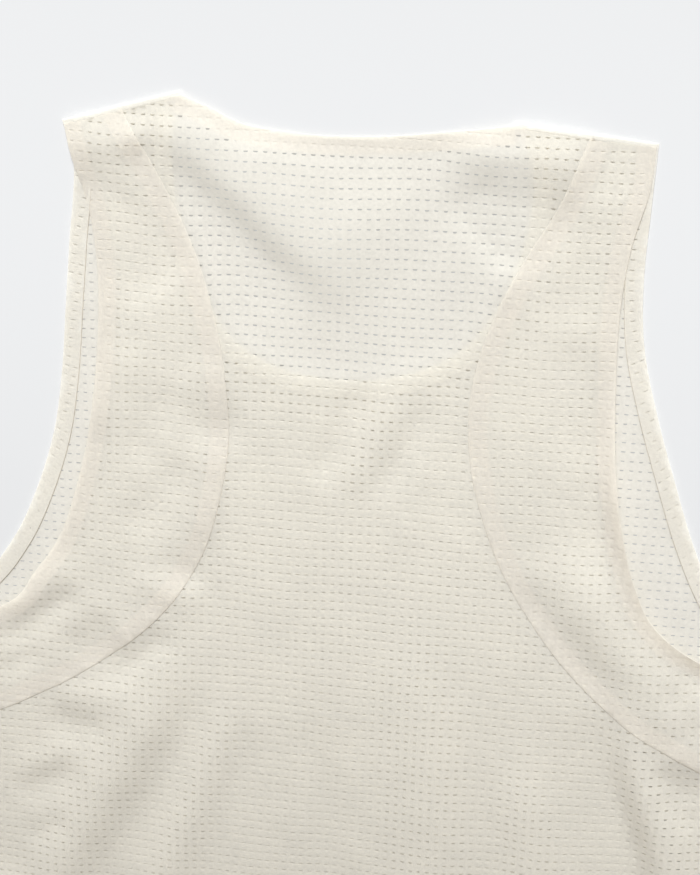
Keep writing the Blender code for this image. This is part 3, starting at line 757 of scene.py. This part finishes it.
def flat_mesh(name, outlines, grid):
    """Flat cloth in metres: whole cells marked to be perforated and, round them, cut-out cloth."""
    sizes = bpy.context.scene.singlet_sizes
    vertices, faces, marked = [], [], []
    for outline in outlines:
        span = np.vstack([grid.cells(outline).min(0), grid.cells(outline).max(0)])
        columns = np.arange(math.floor(span[0, 0]) - 1, math.ceil(span[1, 0]) + 2)
        rows = np.arange(math.floor(span[0, 1]) - 1, math.ceil(span[1, 1]) + 2)
        corner = np.array([[(c - 0.5, r - 0.5) for r in rows] for c in columns])
        corner_places = grid.places(corner.reshape(-1, 2))
        clear = clear_of(corner_places, outline, CELL_CLEARANCE).reshape(len(columns), len(rows))
        whole = clear[:-1, :-1] & clear[1:, :-1] & clear[:-1, 1:] & clear[1:, 1:]
        number = np.arange(len(corner_places)).reshape(clear.shape)
        edges = whole_region_edges(whole, number)
        used = sorted({n for edge in edges for n in edge})
        spot = {n: i for i, n in enumerate(used)}
        points = [tuple(outline_point) for outline_point in outline]
        lines = [(i, (i + 1) % len(points)) for i in range(len(points))]
        start = len(points)
        points += [tuple(corner_places[n]) for n in used]
        lines += [(start + spot[a], start + spot[b]) for a, b in edges]
        holes = set()
        cells = [(i, j) for i in range(len(columns) - 1) for j in range(len(rows) - 1) if not whole[i, j]]
        centres = grid.places([(columns[i], rows[j]) for i, j in cells])
        around = (centres[:, None, :] + grid.hole[None]).reshape(-1, 2)
        fits = clear_of(around, outline, HOLE_CLEARANCE).reshape(-1, len(grid.hole)).all(1)
        for (i, j), centre, fit in zip(cells, centres, fits):
            if fit:
                holes.add((columns[i], rows[j]))
                first = len(points)
                points += [tuple(p) for p in centre + grid.hole]
                lines += [(first + k, first + (k + 1) % len(grid.hole)) for k in range(len(grid.hole))]
        found, _, triangles, *_ = delaunay_2d_cdt([Vector(p) for p in points], lines, [], 0, CUT_LIMIT)
        found = np.array([tuple(v) for v in found])
        dips = np.zeros(len(found))
        triangles = np.array(triangles)
        middles = found[triangles].mean(1)
        at = np.rint(grid.cells(middles)).astype(int)
        kept = within(middles, outline)
        offset = np.array((columns[0], rows[0]))
        local = np.clip(at - offset, 0, np.array(whole.shape) - 1)
        kept &= ~whole[local[:, 0], local[:, 1]]
        in_hole = within(middles - grid.places(at), grid.hole)
        kept &= ~(in_hole & np.array([tuple(cell) in holes for cell in at]))
        from_middle = found - grid.places(np.rint(grid.cells(found)))
        from_edge = np.hypot(*(from_middle[:, None, :] - grid.hole[None]).transpose(2, 0, 1)).min(1)
        dips[from_edge < ON_HOLE] = sizes.hole_dip
        base = len(vertices)
        vertices += [(x * MM, up * MM, -dip) for (x, up), dip in zip(found, dips)]
        faces += [tuple(base + n for n in triangle) for triangle in triangles[kept]]
        marked += [False] * int(kept.sum())
        base = len(vertices)
        vertices += [(x * MM, up * MM, 0.0) for x, up in corner_places]
        for i, j in zip(*np.nonzero(whole)):
            faces.append((base + number[i, j], base + number[i + 1, j],
                          base + number[i + 1, j + 1], base + number[i, j + 1]))
            marked.append(True)
    mesh = bpy.data.meshes.new(name)
    mesh.from_pydata(vertices, [], faces)
    flag = mesh.attributes.new("perforated", "BOOLEAN", "FACE")
    flag.data.foreach_set("value", marked)
    return mesh


def whole_region_edges(whole, number):
    """Edges round the region of whole cells, as pairs of corner numbers."""
    padded = np.pad(whole, 1)
    edges = []
    for i, j in zip(*np.nonzero(whole)):
        if not padded[i + 1, j]:
            edges.append((number[i, j], number[i + 1, j]))
        if not padded[i + 1, j + 2]:
            edges.append((number[i, j + 1], number[i + 1, j + 1]))
        if not padded[i, j + 1]:
            edges.append((number[i, j], number[i, j + 1]))
        if not padded[i + 2, j + 1]:
            edges.append((number[i + 1, j], number[i + 1, j + 1]))
    return edges


def cell_collection(grid):
    """Cells of cloth one unit wide and high, each round a perforation that differs a little."""
    sizes = bpy.context.scene.singlet_sizes
    spread = np.random.default_rng(KINDS_SEED)
    cells = bpy.data.collections.new("perforated_cells")
    bpy.context.scene.collection.children.link(cells)
    corners = [(-0.5, -0.5, 0.0), (0.5, -0.5, 0.0), (0.5, 0.5, 0.0), (-0.5, 0.5, 0.0)]
    faces = [(4, 5, 2, 3), (5, 6, 1, 2), (6, 7, 1), (7, 8, 0, 1), (8, 9, 0), (9, 4, 3, 0)]
    for k in range(CELL_KINDS):
        hole = hole_outline(sizes, widened=spread.uniform(*WIDTH_SHARES),
                            heightened=grid.tall * spread.uniform(*HEIGHT_SHARES),
                            shift=spread.uniform(-MOST_SHIFT, MOST_SHIFT, 2),
                            tilt=spread.uniform(-MOST_TILT, MOST_TILT))
        points = corners + [(x, up, -sizes.hole_dip) for x, up in hole / grid.pitch]
        mesh = bpy.data.meshes.new("perforated_cell")
        mesh.from_pydata(points, [], faces)
        cells.objects.link(bpy.data.objects.new(f"perforated_cell_{k:02d}", mesh))
    return cells


def fill(node, values):
    """Sets a node's inputs, given by name or number."""
    for name, value in values.items():
        node.inputs[name].default_value = value


def join(tree, links):
    """Links nodes: each row has a node and its output, and a node and its input."""
    for source, output, target, name in links:
        tree.links.new(source.outputs[output], target.inputs[name])


def perforation_tree():
    """Geometry Nodes: each marked face becomes a cell with a perforation."""
    tree = bpy.data.node_groups.new("Perforate", "GeometryNodeTree")
    sockets = [("Cloth", "INPUT", "NodeSocketGeometry"), ("Cells", "INPUT", "NodeSocketCollection"),
               ("Last Kind", "INPUT", "NodeSocketInt"), ("Seed", "INPUT", "NodeSocketInt"),
               ("Column Pitch", "INPUT", "NodeSocketFloat"), ("Row Pitch", "INPUT", "NodeSocketFloat"),
               ("Turn", "INPUT", "NodeSocketFloat"), ("Merge Distance", "INPUT", "NodeSocketFloat"),
               ("Knit", "INPUT", "NodeSocketMaterial"), ("Cloth", "OUTPUT", "NodeSocketGeometry")]
    for name, way, kind in sockets:
        tree.interface.new_socket(name=name, in_out=way, socket_type=kind)
    new = tree.nodes.new
    given, result = new("NodeGroupInput"), new("NodeGroupOutput")
    flag, parts = new("GeometryNodeInputNamedAttribute"), new("GeometryNodeSeparateGeometry")
    flag.data_type = "BOOLEAN"
    flag.inputs["Name"].default_value = "perforated"
    parts.domain = "FACE"
    middles, cell = new("GeometryNodeMeshToPoints"), new("GeometryNodeCollectionInfo")
    middles.mode = "FACES"
    fill(cell, {"Separate Children": True, "Reset Children": True})
    kind = new("FunctionNodeRandomValue")
    kind.data_type = "INT"
    least, most = (socket for socket in kind.inputs if socket.type == "INT" and socket.name in ("Min", "Max"))
    least.default_value = 0
    size, turn = new("ShaderNodeCombineXYZ"), new("ShaderNodeCombineXYZ")
    fill(size, {"Z": 1.0})
    place = new("GeometryNodeInstanceOnPoints")
    fill(place, {"Pick Instance": True})
    both, real = new("GeometryNodeJoinGeometry"), new("GeometryNodeRealizeInstances")
    merge, paint = new("GeometryNodeMergeByDistance"), new("GeometryNodeSetMaterial")
    tree.links.new(given.outputs["Last Kind"], most)
    join(tree, [
        (given, "Cloth", parts, "Geometry"), (flag, "Attribute", parts, "Selection"),
        (parts, "Selection", middles, "Mesh"), (given, "Cells", cell, "Collection"),
        (given, "Seed", kind, "Seed"), (kind, 2, place, "Instance Index"),
        (given, "Column Pitch", size, "X"), (given, "Row Pitch", size, "Y"),
        (given, "Turn", turn, "Z"), (middles, "Points", place, "Points"),
        (cell, "Instances", place, "Instance"), (turn, "Vector", place, "Rotation"),
        (size, "Vector", place, "Scale"), (parts, "Inverted", both, "Geometry"),
        (place, "Instances", both, "Geometry"), (both, "Geometry", real, "Geometry"),
        (real, "Geometry", merge, "Geometry"), (given, "Merge Distance", merge, "Distance"),
        (merge, "Geometry", paint, "Geometry"), (given, "Knit", paint, "Material"),
        (paint, "Geometry", result, "Cloth"),
    ])
    return tree


def perforated(name, outlines, material):
    """A piece's perforated flat cloth: its points and their dips in millimetres, and its faces."""
    sizes = bpy.context.scene.singlet_sizes
    lattice = LATTICES[name]
    grid = Grid(lattice, sizes)
    flat = bpy.data.objects.new(name + "_flat", flat_mesh(name + "_flat", outlines, grid))
    bpy.context.collection.objects.link(flat)
    cells = cell_collection(grid)
    tree = bpy.data.node_groups.get("Perforate") or perforation_tree()
    modifier = flat.modifiers.new("Perforate", "NODES")
    modifier.node_group = tree
    values = {
        "Cells": cells, "Last Kind": CELL_KINDS - 1, "Seed": PICK_SEED,
        "Column Pitch": sizes.column_pitch, "Row Pitch": sizes.row_pitch,
        "Turn": math.radians(lattice.turn), "Merge Distance": MERGE_DISTANCE * MM, "Knit": material,
    }
    for item in tree.interface.items_tree:
        if item.in_out == "INPUT" and item.name in values:
            modifier[item.identifier] = values[item.name]
    bpy.context.view_layer.update()
    evaluated = flat.evaluated_get(bpy.context.evaluated_depsgraph_get())
    result = bpy.data.meshes.new_from_object(evaluated)
    points = np.zeros(len(result.vertices) * 3, np.float32)
    result.vertices.foreach_get("co", points)
    faces = [tuple(face.vertices) for face in result.polygons]
    for old in (flat, *cells.objects):
        bpy.data.objects.remove(old, do_unlink=True)
    bpy.data.collections.remove(cells)
    points = points.reshape(-1, 3).astype(float) / MM
    return points[:, :2], points[:, 2], faces


# ---------------------------------------------------------------- pieces of cloth

class Cloth:
    """A piece as it is put together: its cut, its placed points and its masks, all in millimetres."""

    def __init__(self):
        self.cut, self.placed, self.doubled, self.raw, self.faces = [], [], [], [], []
        self.count = 0

    def add(self, cut, placed, doubled, raw, faces):
        """Adds points and the faces between them."""
        self.faces += [tuple(self.count + n for n in face) for face in faces]
        self.cut.append(cut)
        self.placed.append(placed)
        self.doubled.append(np.broadcast_to(doubled, len(cut)))
        self.raw.append(np.broadcast_to(raw, len(cut)))
        self.count += len(cut)

    def piece(self, name, material, turned_over=False):
        """The finished mesh object, in metres in the row frame."""
        cut = np.vstack(self.cut)
        placed = np.vstack(self.placed)
        placed = (placed - (0.0, LENGTH / 2.0, 0.0)) * MM
        faces = [face[::-1] for face in self.faces] if turned_over else self.faces
        mesh = bpy.data.meshes.new(name)
        mesh.from_pydata(placed.tolist(), [], faces)
        for label, values in (("doubled", self.doubled), ("raw", self.raw)):
            layer = mesh.attributes.new(label, "FLOAT", "POINT")
            layer.data.foreach_set("value", np.hstack(values).astype(np.float32))
        corners = np.zeros(len(mesh.loops), int)
        mesh.loops.foreach_get("vertex_index", corners)
        low, high = cut.min(0), cut.max(0)
        chart = mesh.uv_layers.new(name="OFBake")
        chart.uv.foreach_set("vector", ((cut - low) / (high - low).max())[corners].ravel())
        weld(mesh)
        mesh.shade_smooth()
        mesh.materials.append(material)
        piece = bpy.data.objects.new(name, mesh)
        bpy.context.collection.objects.link(piece)
        return piece


def weld(mesh):
    """Joins the doubled points where a roll meets its sheet."""
    bm = bmesh.new()
    bm.from_mesh(mesh)
    bmesh.ops.remove_doubles(bm, verts=bm.verts, dist=WELD_DISTANCE * MM)
    bm.to_mesh(mesh)
    bm.free()


# A row of a roll or an allowance: inset from the edge, height against the sheet (or the table),
# how far it lies along the cloth beyond the sheet's edge, and its masks of painted light and painted shade.
Row = namedtuple("Row", "inset rise beyond doubled raw")


def strip_faces(rows, width):
    """Faces between a number of rows of points of one width."""
    return [(r * width + k, (r + 1) * width + k, (r + 1) * width + k + 1, r * width + k + 1)
            for r in range(rows - 1) for k in range(width - 1)]


def add_strip(cloth, line, rows, height, start=None):
    """Adds rows of cloth along an edge, whose cut begins at the first row's inset or at the start."""
    normals = inward(line)
    start = rows[0].inset if start is None else start
    cuts = [line + normals * (start - row.beyond) for row in rows]
    places = [line + normals * row.inset for row in rows]
    placed = [np.c_[place, height(place) + row.rise] for place, row in zip(places, rows)]
    doubled = np.repeat([row.doubled for row in rows], len(line))
    raw = np.repeat([row.raw for row in rows], len(line))
    cloth.add(np.vstack(cuts), np.vstack(placed), doubled, raw, strip_faces(len(rows), len(line)))


def hem_rows(width, under=True):
    """Rows of a turned hem: the roll of the edge and the allowance on the hidden side."""
    way = -1.0 if under else 1.0
    # Every row of a hem carries the painted light tone of doubled cloth.
    rows = [Row(HEM_RADIUS, 0.0, 0.0, 1.0, 0.0)]
    for degrees in HEM_TURNS:
        turn = math.radians(degrees)
        rows.append(Row(HEM_RADIUS * (1.0 - math.sin(turn)), way * HEM_RADIUS * (1.0 - math.cos(turn)),
                        HEM_RADIUS * turn, 1.0, 0.0))
    if not under:
        return rows
    even = np.linspace(HEM_EVEN_FROM, width, max(2, round(width / HEM_ROW_SPACING)))
    for inset in HEM_INSETS + list(even):
        gap = ALLOWANCE_GAP + (2.0 * HEM_RADIUS - ALLOWANCE_GAP) * math.exp(-inset / ALLOWANCE_FADE)
        # Its allowance rows also carry a share of the cut edges' painted shade, seen through the perforations
        # above them.
        rows.append(Row(inset, way * gap, HEM_RADIUS * math.pi + inset - HEM_RADIUS, 1.0, ALLOWANCE_SHADE))
    return rows


def doubled_along(hems):
    """Mask function: 1 within its width of each hem's line, where the cloth lies double."""
    coarse = [(respaced(line, COARSE_SPACING), width) for line, width in hems]

    def mask(points):
        near = [abs(beside(points, line)[0]) - width for line, width in coarse]
        return 1.0 - soft_step((np.min(near, axis=0) + MASK_STEP / 2.0) / MASK_STEP)
    return mask


def back_panel(node, material, runs, hems, laid, height):
    """Makes a panel of the back from its outline's runs and their insets, with turned hems."""
    outline = closed([run + inward(run) * inset for run, inset in runs])
    points, dips, faces = perforated(node, [outline], material)
    drifted = laid.drifted(points, outline)
    cloth = Cloth()
    # Where an allowance lies under it, the sheet takes the painted light tone of doubled cloth.
    cloth.add(points, np.c_[drifted, height(drifted) + dips], doubled_along(hems)(points), 0.0, faces)
    for line, width in hems:
        add_strip(cloth, line, hem_rows(width), height)
    finish_piece(cloth.piece(node + "_panel", material), node)


def finish_piece(piece, node):
    """Hangs the piece on the root body and hides the solid that it stands for."""
    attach(piece, "root")
    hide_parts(node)


# ---------------------------------------------------------------- materials

def knit_group():
    """Shared surface of the knit: fine loops and uneven yarn, as a height and a shade."""
    group = bpy.data.node_groups.get("Knit surface")
    if group:
        return group
    group = bpy.data.node_groups.new("Knit surface", "ShaderNodeTree")
    for name, way, kind in (("Place", "INPUT", "NodeSocketVector"), ("Loop Size", "INPUT", "NodeSocketFloat"),
                            ("Height", "OUTPUT", "NodeSocketFloat"), ("Shade", "OUTPUT", "NodeSocketFloat")):
        group.interface.new_socket(name=name, in_out=way, socket_type=kind)
    new = group.nodes.new
    given, result = new("NodeGroupInput"), new("NodeGroupOutput")
    loops = new("ShaderNodeTexVoronoi")
    loops.voronoi_dimensions = "2D"
    yarn, cloud = new("ShaderNodeTexNoise"), new("ShaderNodeTexNoise")
    fill(loops, {"Randomness": LOOP_UNEVEN})
    fill(yarn, {"Scale": YARN_SCALE, "Detail": YARN_DETAIL})
    fill(cloud, {"Scale": CLOUD_SCALE, "Detail": CLOUD_DETAIL})
    count, height, shade = (new("ShaderNodeMath") for _ in range(3))
    count.operation, height.operation, shade.operation = "DIVIDE", "SUBTRACT", "ADD"
    fill(count, {0: 1.0})
    fine, broad = new("ShaderNodeMapRange"), new("ShaderNodeMapRange")
    for node, reach in ((fine, YARN_SHADE), (broad, CLOUD_SHADE)):
        fill(node, {"From Min": NOISE_LOW, "From Max": NOISE_HIGH,
                    "To Min": 0.5 - reach, "To Max": 0.5 + reach})
    join(group, [
        (given, "Loop Size", count, 1), (count, 0, loops, "Scale"),
        (given, "Place", loops, "Vector"), (given, "Place", yarn, "Vector"),
        (given, "Place", cloud, "Vector"), (yarn, "Fac", height, 0), (loops, "Distance", height, 1),
        (yarn, "Fac", fine, "Value"), (cloud, "Fac", broad, "Value"),
        (fine, "Result", shade, 0), (broad, "Result", shade, 1),
        (height, 0, result, "Height"), (shade, 0, result, "Shade"),
    ])
    return group


def knit_material(name, colour, turned):
    """Matt cream knit that lets some light through, with painted light where it lies double and painted shade
    along its cut edges.
    """
    material = bpy.data.materials.new(name)
    material.use_nodes = True
    colours = bpy.context.scene.singlet_colours
    tree = material.node_tree
    new = tree.nodes.new
    shader, output = tree.nodes["Principled BSDF"], tree.nodes["Material Output"]
    place, surface = new("ShaderNodeTexCoord"), new("ShaderNodeGroup")
    surface.node_tree = knit_group()
    fill(surface, {"Loop Size": LOOP_SIZE})
    doubled, raw = new("ShaderNodeAttribute"), new("ShaderNodeAttribute")
    doubled.attribute_name, raw.attribute_name = "doubled", "raw"
    lit_double_mix, edge_shaded, shaded, tinted = (new("ShaderNodeMix") for _ in range(4))
    for mix in (lit_double_mix, edge_shaded, shaded, tinted):
        mix.data_type = "RGBA"
    for mix in (shaded, tinted):
        mix.blend_type = "MULTIPLY"
        fill(mix, {"Factor": 1.0})
    # Painted light: the doubled cloth's tone, mixed in by its mask.
    fill(lit_double_mix, {"A": (*colour, 1.0), "B": (*turned, 1.0)})
    # Painted shade: the darker tone of cut edges and allowances, mixed in by its mask.
    fill(edge_shaded, {"B": (*colours.edge_shade_colour, 1.0)})
    fill(tinted, {"B": (*colours.through, 1.0)})
    fill(shader, KNIT_VALUES)
    bump, mixed = new("ShaderNodeBump"), new("ShaderNodeMixShader")
    through = new("ShaderNodeBsdfTranslucent")
    fill(bump, BUMP_VALUES)
    fill(mixed, {0: LET_THROUGH})
    join(tree, [
        (place, "Object", surface, "Place"), (doubled, "Fac", lit_double_mix, "Factor"),
        (lit_double_mix, "Result", edge_shaded, "A"), (raw, "Fac", edge_shaded, "Factor"),
        (edge_shaded, "Result", shaded, "A"), (surface, "Shade", shaded, "B"),
        (shaded, "Result", shader, "Base Color"), (surface, "Height", bump, "Height"),
        (bump, "Normal", shader, "Normal"), (shaded, "Result", tinted, "A"),
        (tinted, "Result", through, "Color"), (shader, "BSDF", mixed, 1),
        (through, "BSDF", mixed, 2), (mixed, "Shader", output, "Surface"),
    ])
    return material


def table_material():
    """Smooth pale board."""
    material = bpy.data.materials.new("pale_board")
    material.use_nodes = True
    shader = material.node_tree.nodes["Principled BSDF"]
    fill(shader, {"Base Color": (*bpy.context.scene.singlet_colours.table, 1.0), **TABLE_VALUES})
    return material


# ---------------------------------------------------------------- operators

class SINGLET_OT_front(bpy.types.Operator):
    """Make the front, which lies underneath and wraps over the shoulders and sides"""

    bl_idname = "singlet.front"
    bl_label = "Front"

    def execute(self, context):
        laid = LaidCloth(context.scene.singlet_sizes)
        colours = context.scene.singlet_colours
        material = knit_material("front_knit", colours.inside, colours.front_hem_light)
        arm = {side: front_armhole(side) for side in SIDES}
        neck = front_neck()
        hem = straight_line(side_point(-1, 0.0), side_point(1, 0.0))
        edge = {side: straight_line(side_point(side, UNDERARM_UP[side]), side_point(side, 0.0))
                for side in SIDES}
        shoulder = {side: straight_line(shoulder_point(side, SHOULDER_TIP[side][0]),
                                        shoulder_point(side, SHOULDER_NECK[side][0])) for side in SIDES}
        hemmed = [arm[-1], hem, arm[1][::-1], trimmed(neck, BAND_TRIM)]
        wrapped = [edge[-1], edge[1][::-1], shoulder[1], shoulder[-1][::-1]]
        runs = [arm[-1], edge[-1], hem, edge[1][::-1], arm[1][::-1], shoulder[1], neck, shoulder[-1][::-1]]
        insets = [WRAP_RADIUS if any(run is line for line in wrapped) else HEM_RADIUS for run in runs]
        outline = closed([run + inward(run) * inset for run, inset in zip(runs, insets)])
        banded = [arm[-1], arm[1][::-1], trimmed(neck, BAND_TRIM)]
        bands = [closed([line - inward(line) * HEM_RADIUS, (line - inward(line) * HEM_BAND)[::-1]])[::-1]
                 for line in banded]
        points, dips, faces = perforated("front", [outline] + bands, material)
        cloth = Cloth()
        placed = np.c_[points, laid.front(points) - dips]
        doubled = np.zeros(len(points))
        for line, band, tone in zip(banded, bands, BAND_LIGHT):
            chosen = np.flatnonzero(within(points, band + (band - band.mean(0)) * BAND_GROWN)
                                    | (abs(beside(points, band)[0]) < BAND_NEAR))
            distance = beside(points[chosen], line)[0]
            outside = distance < -0.5 * HEM_RADIUS
            chosen, distance = chosen[outside], distance[outside]
            folded = folded_back(points[chosen], line)
            rise = 2.0 * HEM_RADIUS + BAND_GAP * soft_step(-distance / BAND_OPENS)
            placed[chosen] = np.c_[folded, laid.front(folded) + rise + dips[chosen]]
            # Painted light: the neck band takes the front hem's lighter tone, a painted shine where it shows
            # through the back.
            doubled[chosen] = tone
        cloth.add(points, placed, doubled, 0.0, faces)
        for line in hemmed:
            rows = hem_rows(HEM_BAND, under=False)
            if line is hem:
                rows += [Row(inset, 2.0 * HEM_RADIUS, inset, 1.0, 0.0) for inset in BOTTOM_INSETS]
            add_strip(cloth, line, rows, laid.front)
        for line in wrapped:
            add_wrap(cloth, line, laid)
        for line in banded:
            add_raw_edge(cloth, line, laid.front)
        piece = cloth.piece("front_panel", material, turned_over=True)
        finish_piece(piece, "front")
        return {"FINISHED"}


def folded_back(points, line):
    """Points outside an edge folded over it on to its inner side."""
    near = np.full(len(points), np.inf)
    feet = np.zeros_like(points)
    for start, way in zip(line, np.diff(line, axis=0)):
        share = np.clip((points - start) @ way / (way @ way), 0.0, 1.0)
        foot = start + share[:, None] * way
        gap = np.hypot(*(points - foot).T)
        closer = gap < near
        near[closer] = gap[closer]
        feet[closer] = foot[closer]
    return 2.0 * feet - points


def add_raw_edge(cloth, line, height):
    """Adds the cut edge along a turned allowance that lies on the inner side."""
    rise = 2.0 * HEM_RADIUS + BAND_GAP
    # The last rows carry painted shade: a darker line for the cut edge's contact shadow.
    rows = [
        Row(HEM_BAND, rise, 0.0, 1.0, 0.0),
        Row(HEM_BAND + RAW_ROUND, rise, RAW_ROUND, 1.0, 1.0),
        Row(HEM_BAND + RAW_EDGE, rise - RAW_ROUND, RAW_EDGE, 1.0, 1.0),
        Row(HEM_BAND + RAW_EDGE + 2.0 * RAW_ROUND, RAW_ROUND, RAW_EDGE + RAW_FALL, 1.0, 1.0),
    ]
    add_strip(cloth, line, rows, height, start=-HEM_BAND)


# Ends of the front's wrapped cloth on the back: inset against the wrap's width, and drop.
WrapEnd = namedtuple("WrapEnd", "inset drop")
WRAP_ENDS = [
    WrapEnd(inset=WRAP - 0.8, drop=0.0),
    WrapEnd(inset=WRAP, drop=0.06),
    WrapEnd(inset=WRAP + 0.35, drop=0.22),
]


def add_wrap(cloth, line, laid):
    """Adds the front's cloth where it rolls round an edge and lies on the back."""
    normals = inward(line)
    low = laid.front(line + normals * WRAP_RADIUS)
    top = laid.back(line + normals * WRAP) + WRAP_LIFT
    walked = np.r_[0.0, np.cumsum(np.hypot(*np.diff(line, axis=0).T))]
    low_end = soft_step(np.minimum(walked, walked[-1] - walked) / WRAP_TAPER)
    top = low + (top - low) * (WRAP_KEPT + (1.0 - WRAP_KEPT) * low_end)
    middle, reach = (low + top) / 2.0, (top - low) / 2.0
    places, cuts, walked = [], [], 0.0
    for degrees in np.arange(-90.0, 90.0 + WRAP_STEP, WRAP_STEP):
        turn = math.radians(degrees)
        places.append((WRAP_RADIUS * (1.0 - math.cos(turn)), middle + reach * math.sin(turn)))
        cuts.append(walked)
        walked += WRAP_RADIUS * math.radians(WRAP_STEP)
    for end in WRAP_ENDS:
        places.append((end.inset, top - end.drop))
        cuts.append(walked + end.inset - WRAP_RADIUS)
    placed = np.vstack([np.c_[line + normals * inset, height] for inset, height in places])
    cut = np.vstack([line + normals * (WRAP_RADIUS - beyond) for beyond in cuts])
    # The wrapped cloth takes the painted light tone of doubled cloth.
    cloth.add(cut, placed, 1.0, 0.0, strip_faces(len(places), len(line)))


class SINGLET_OT_back_centre(bpy.types.Operator):
    """Make the racer-shaped back centre, with its neck hem and bottom hem"""

    bl_idname = "singlet.back_centre"
    bl_label = "Back centre"

    def execute(self, context):
        laid = LaidCloth(context.scene.singlet_sizes)
        colours = context.scene.singlet_colours
        material = knit_material("back_knit", colours.cloth, colours.doubled)
        seam = {side: panel_seam(side) for side in SIDES}
        edge = {side: straight_line(side_point(side, SIDE_SEAM_UP, TUCK), side_point(side, 0.0, TUCK))
                for side in SIDES}
        stub = {side: straight_line(shoulder_point(side, SEAM_TOP_OUT[side], TUCK),
                                    shoulder_point(side, SHOULDER_NECK[side][0], TUCK)) for side in SIDES}
        neck = back_neck()
        hem = straight_line(side_point(-1, 0.0, TUCK), side_point(1, 0.0, TUCK))
        runs = [(seam[-1], -LAP), (edge[-1], 0.0), (hem, HEM_RADIUS), (edge[1][::-1], 0.0),
                (seam[1][::-1], -LAP), (stub[1], 0.0), (neck, HEM_RADIUS), (stub[-1][::-1], 0.0)]
        hems = [(neck, HEM_BAND), (hem, BOTTOM_BAND)]
        back_panel("back_centre", material, runs, hems, laid, laid.back_centre)
        return {"FINISHED"}


class SINGLET_OT_back_sides(bpy.types.Operator):
    """Make the two crescent side panels, lapped over the back centre"""

    bl_idname = "singlet.back_sides"
    bl_label = "Back side panels"

    def execute(self, context):
        laid = LaidCloth(context.scene.singlet_sizes)
        colours = context.scene.singlet_colours
        material = knit_material("side_knit", colours.cloth, colours.doubled)
        for side, word in SIDES.items():
            arm, seam = back_armhole(side), panel_seam(side)
            edge, stub = straight_line(arm[-1], seam[-1]), straight_line(arm[0], seam[0])
            runs = [(arm, HEM_RADIUS), (edge, 0.0), (seam[::-1], HEM_RADIUS), (stub[::-1], 0.0)]
            hems = [(arm, HEM_BAND), (seam[::-1], SEAM_BAND)]
            if side > 0:
                runs = [(run[::-1], inset) for run, inset in runs[::-1]]
                hems = [(line[::-1], width) for line, width in hems]
            height = laid.back_side(side)
            back_panel("back_side_" + word, material, runs, hems, laid, height)
        return {"FINISHED"}


class SINGLET_OT_stage(bpy.types.Operator):
    """Make the table, the soft light and the camera"""

    bl_idname = "singlet.stage"
    bl_label = "Table, light and camera"

    def execute(self, context):
        scene = context.scene
        mesh = bpy.data.meshes.new("table_top")
        half = TABLE_HALF
        mesh.from_pydata([(-half, -half, 0.0), (half, -half, 0.0), (half, half, 0.0), (-half, half, 0.0)],
                         [], [(0, 1, 2, 3)])
        mesh.materials.append(table_material())
        table = bpy.data.objects.new("table_top", mesh)
        scene.collection.objects.link(table)
        add_key_light(scene)
        world = bpy.data.worlds.new("soft_room")
        world.use_nodes = True
        fill(world.node_tree.nodes["Background"], {"Color": ROOM_COLOUR, "Strength": ROOM_STRENGTH})
        scene.world = world
        scene.view_settings.view_transform = "Standard"
        add_camera(scene)
        return {"FINISHED"}


def add_key_light(scene):
    """Wide soft light from beyond the neck, with a grid that narrows it."""
    light = bpy.data.lights.new("key_light", "AREA")
    light.shape = "RECTANGLE"
    light.size, light.size_y = KEY_SIZE
    light.energy = KEY_POWER
    light.spread = math.radians(KEY_SPREAD)
    light.color = KEY_COLOUR
    lamp = bpy.data.objects.new("key_light", light)
    lamp.location = KEY_PLACE
    lamp.rotation_euler = (Vector(KEY_TARGET) - Vector(KEY_PLACE)).to_track_quat("-Z", "Y").to_euler()
    scene.collection.objects.link(lamp)


def add_camera(scene):
    """Camera at the tilted view from above."""
    data = bpy.data.cameras.new("view")
    data.sensor_width = SENSOR
    data.lens = FOCAL_PIXELS * SENSOR / IMAGE_HEIGHT
    data.dof.use_dof = False
    camera = bpy.data.objects.new("view", data)
    right, up = Vector(CAMERA_RIGHT).normalized(), Vector(CAMERA_UP).normalized()
    back = right.cross(up).normalized()
    up = back.cross(right)
    turned = Matrix((right, up, back)).transposed().to_4x4()
    camera.matrix_world = Matrix.Translation(CAMERA_PLACE) @ turned
    scene.collection.objects.link(camera)
    scene.camera = camera


class SINGLET_PT_sidebar(bpy.types.Panel):
    """Singlet's sizes, colours and pieces"""

    bl_label = "Laid singlet"
    bl_idname = "SINGLET_PT_sidebar"
    bl_space_type = "VIEW_3D"
    bl_region_type = "UI"
    bl_category = "Singlet"

    def draw(self, context):
        for group in (context.scene.singlet_sizes, context.scene.singlet_colours):
            box = self.layout.box()
            for name in group.__annotations__:
                box.prop(group, name)
        for operator in OPERATORS:
            self.layout.operator(operator.bl_idname)


OPERATORS = (SINGLET_OT_front, SINGLET_OT_back_centre, SINGLET_OT_back_sides, SINGLET_OT_stage)
CLASSES = (SingletSizes, SingletColours, *OPERATORS, SINGLET_PT_sidebar)


def register():
    """Registers the classes and puts the settings on the scene."""
    for item in CLASSES:
        bpy.utils.register_class(item)
    bpy.types.Scene.singlet_sizes = PointerProperty(type=SingletSizes)
    bpy.types.Scene.singlet_colours = PointerProperty(type=SingletColours)


def unregister():
    """Takes the settings and the classes away."""
    del bpy.types.Scene.singlet_sizes
    del bpy.types.Scene.singlet_colours
    for item in reversed(CLASSES):
        bpy.utils.unregister_class(item)


def main():
    """Makes every piece and the stage."""
    register()
    for operator in OPERATORS:
        group, name = operator.bl_idname.split(".")
        getattr(getattr(bpy.ops, group), name)()


if __name__ == "__main__":
    main()
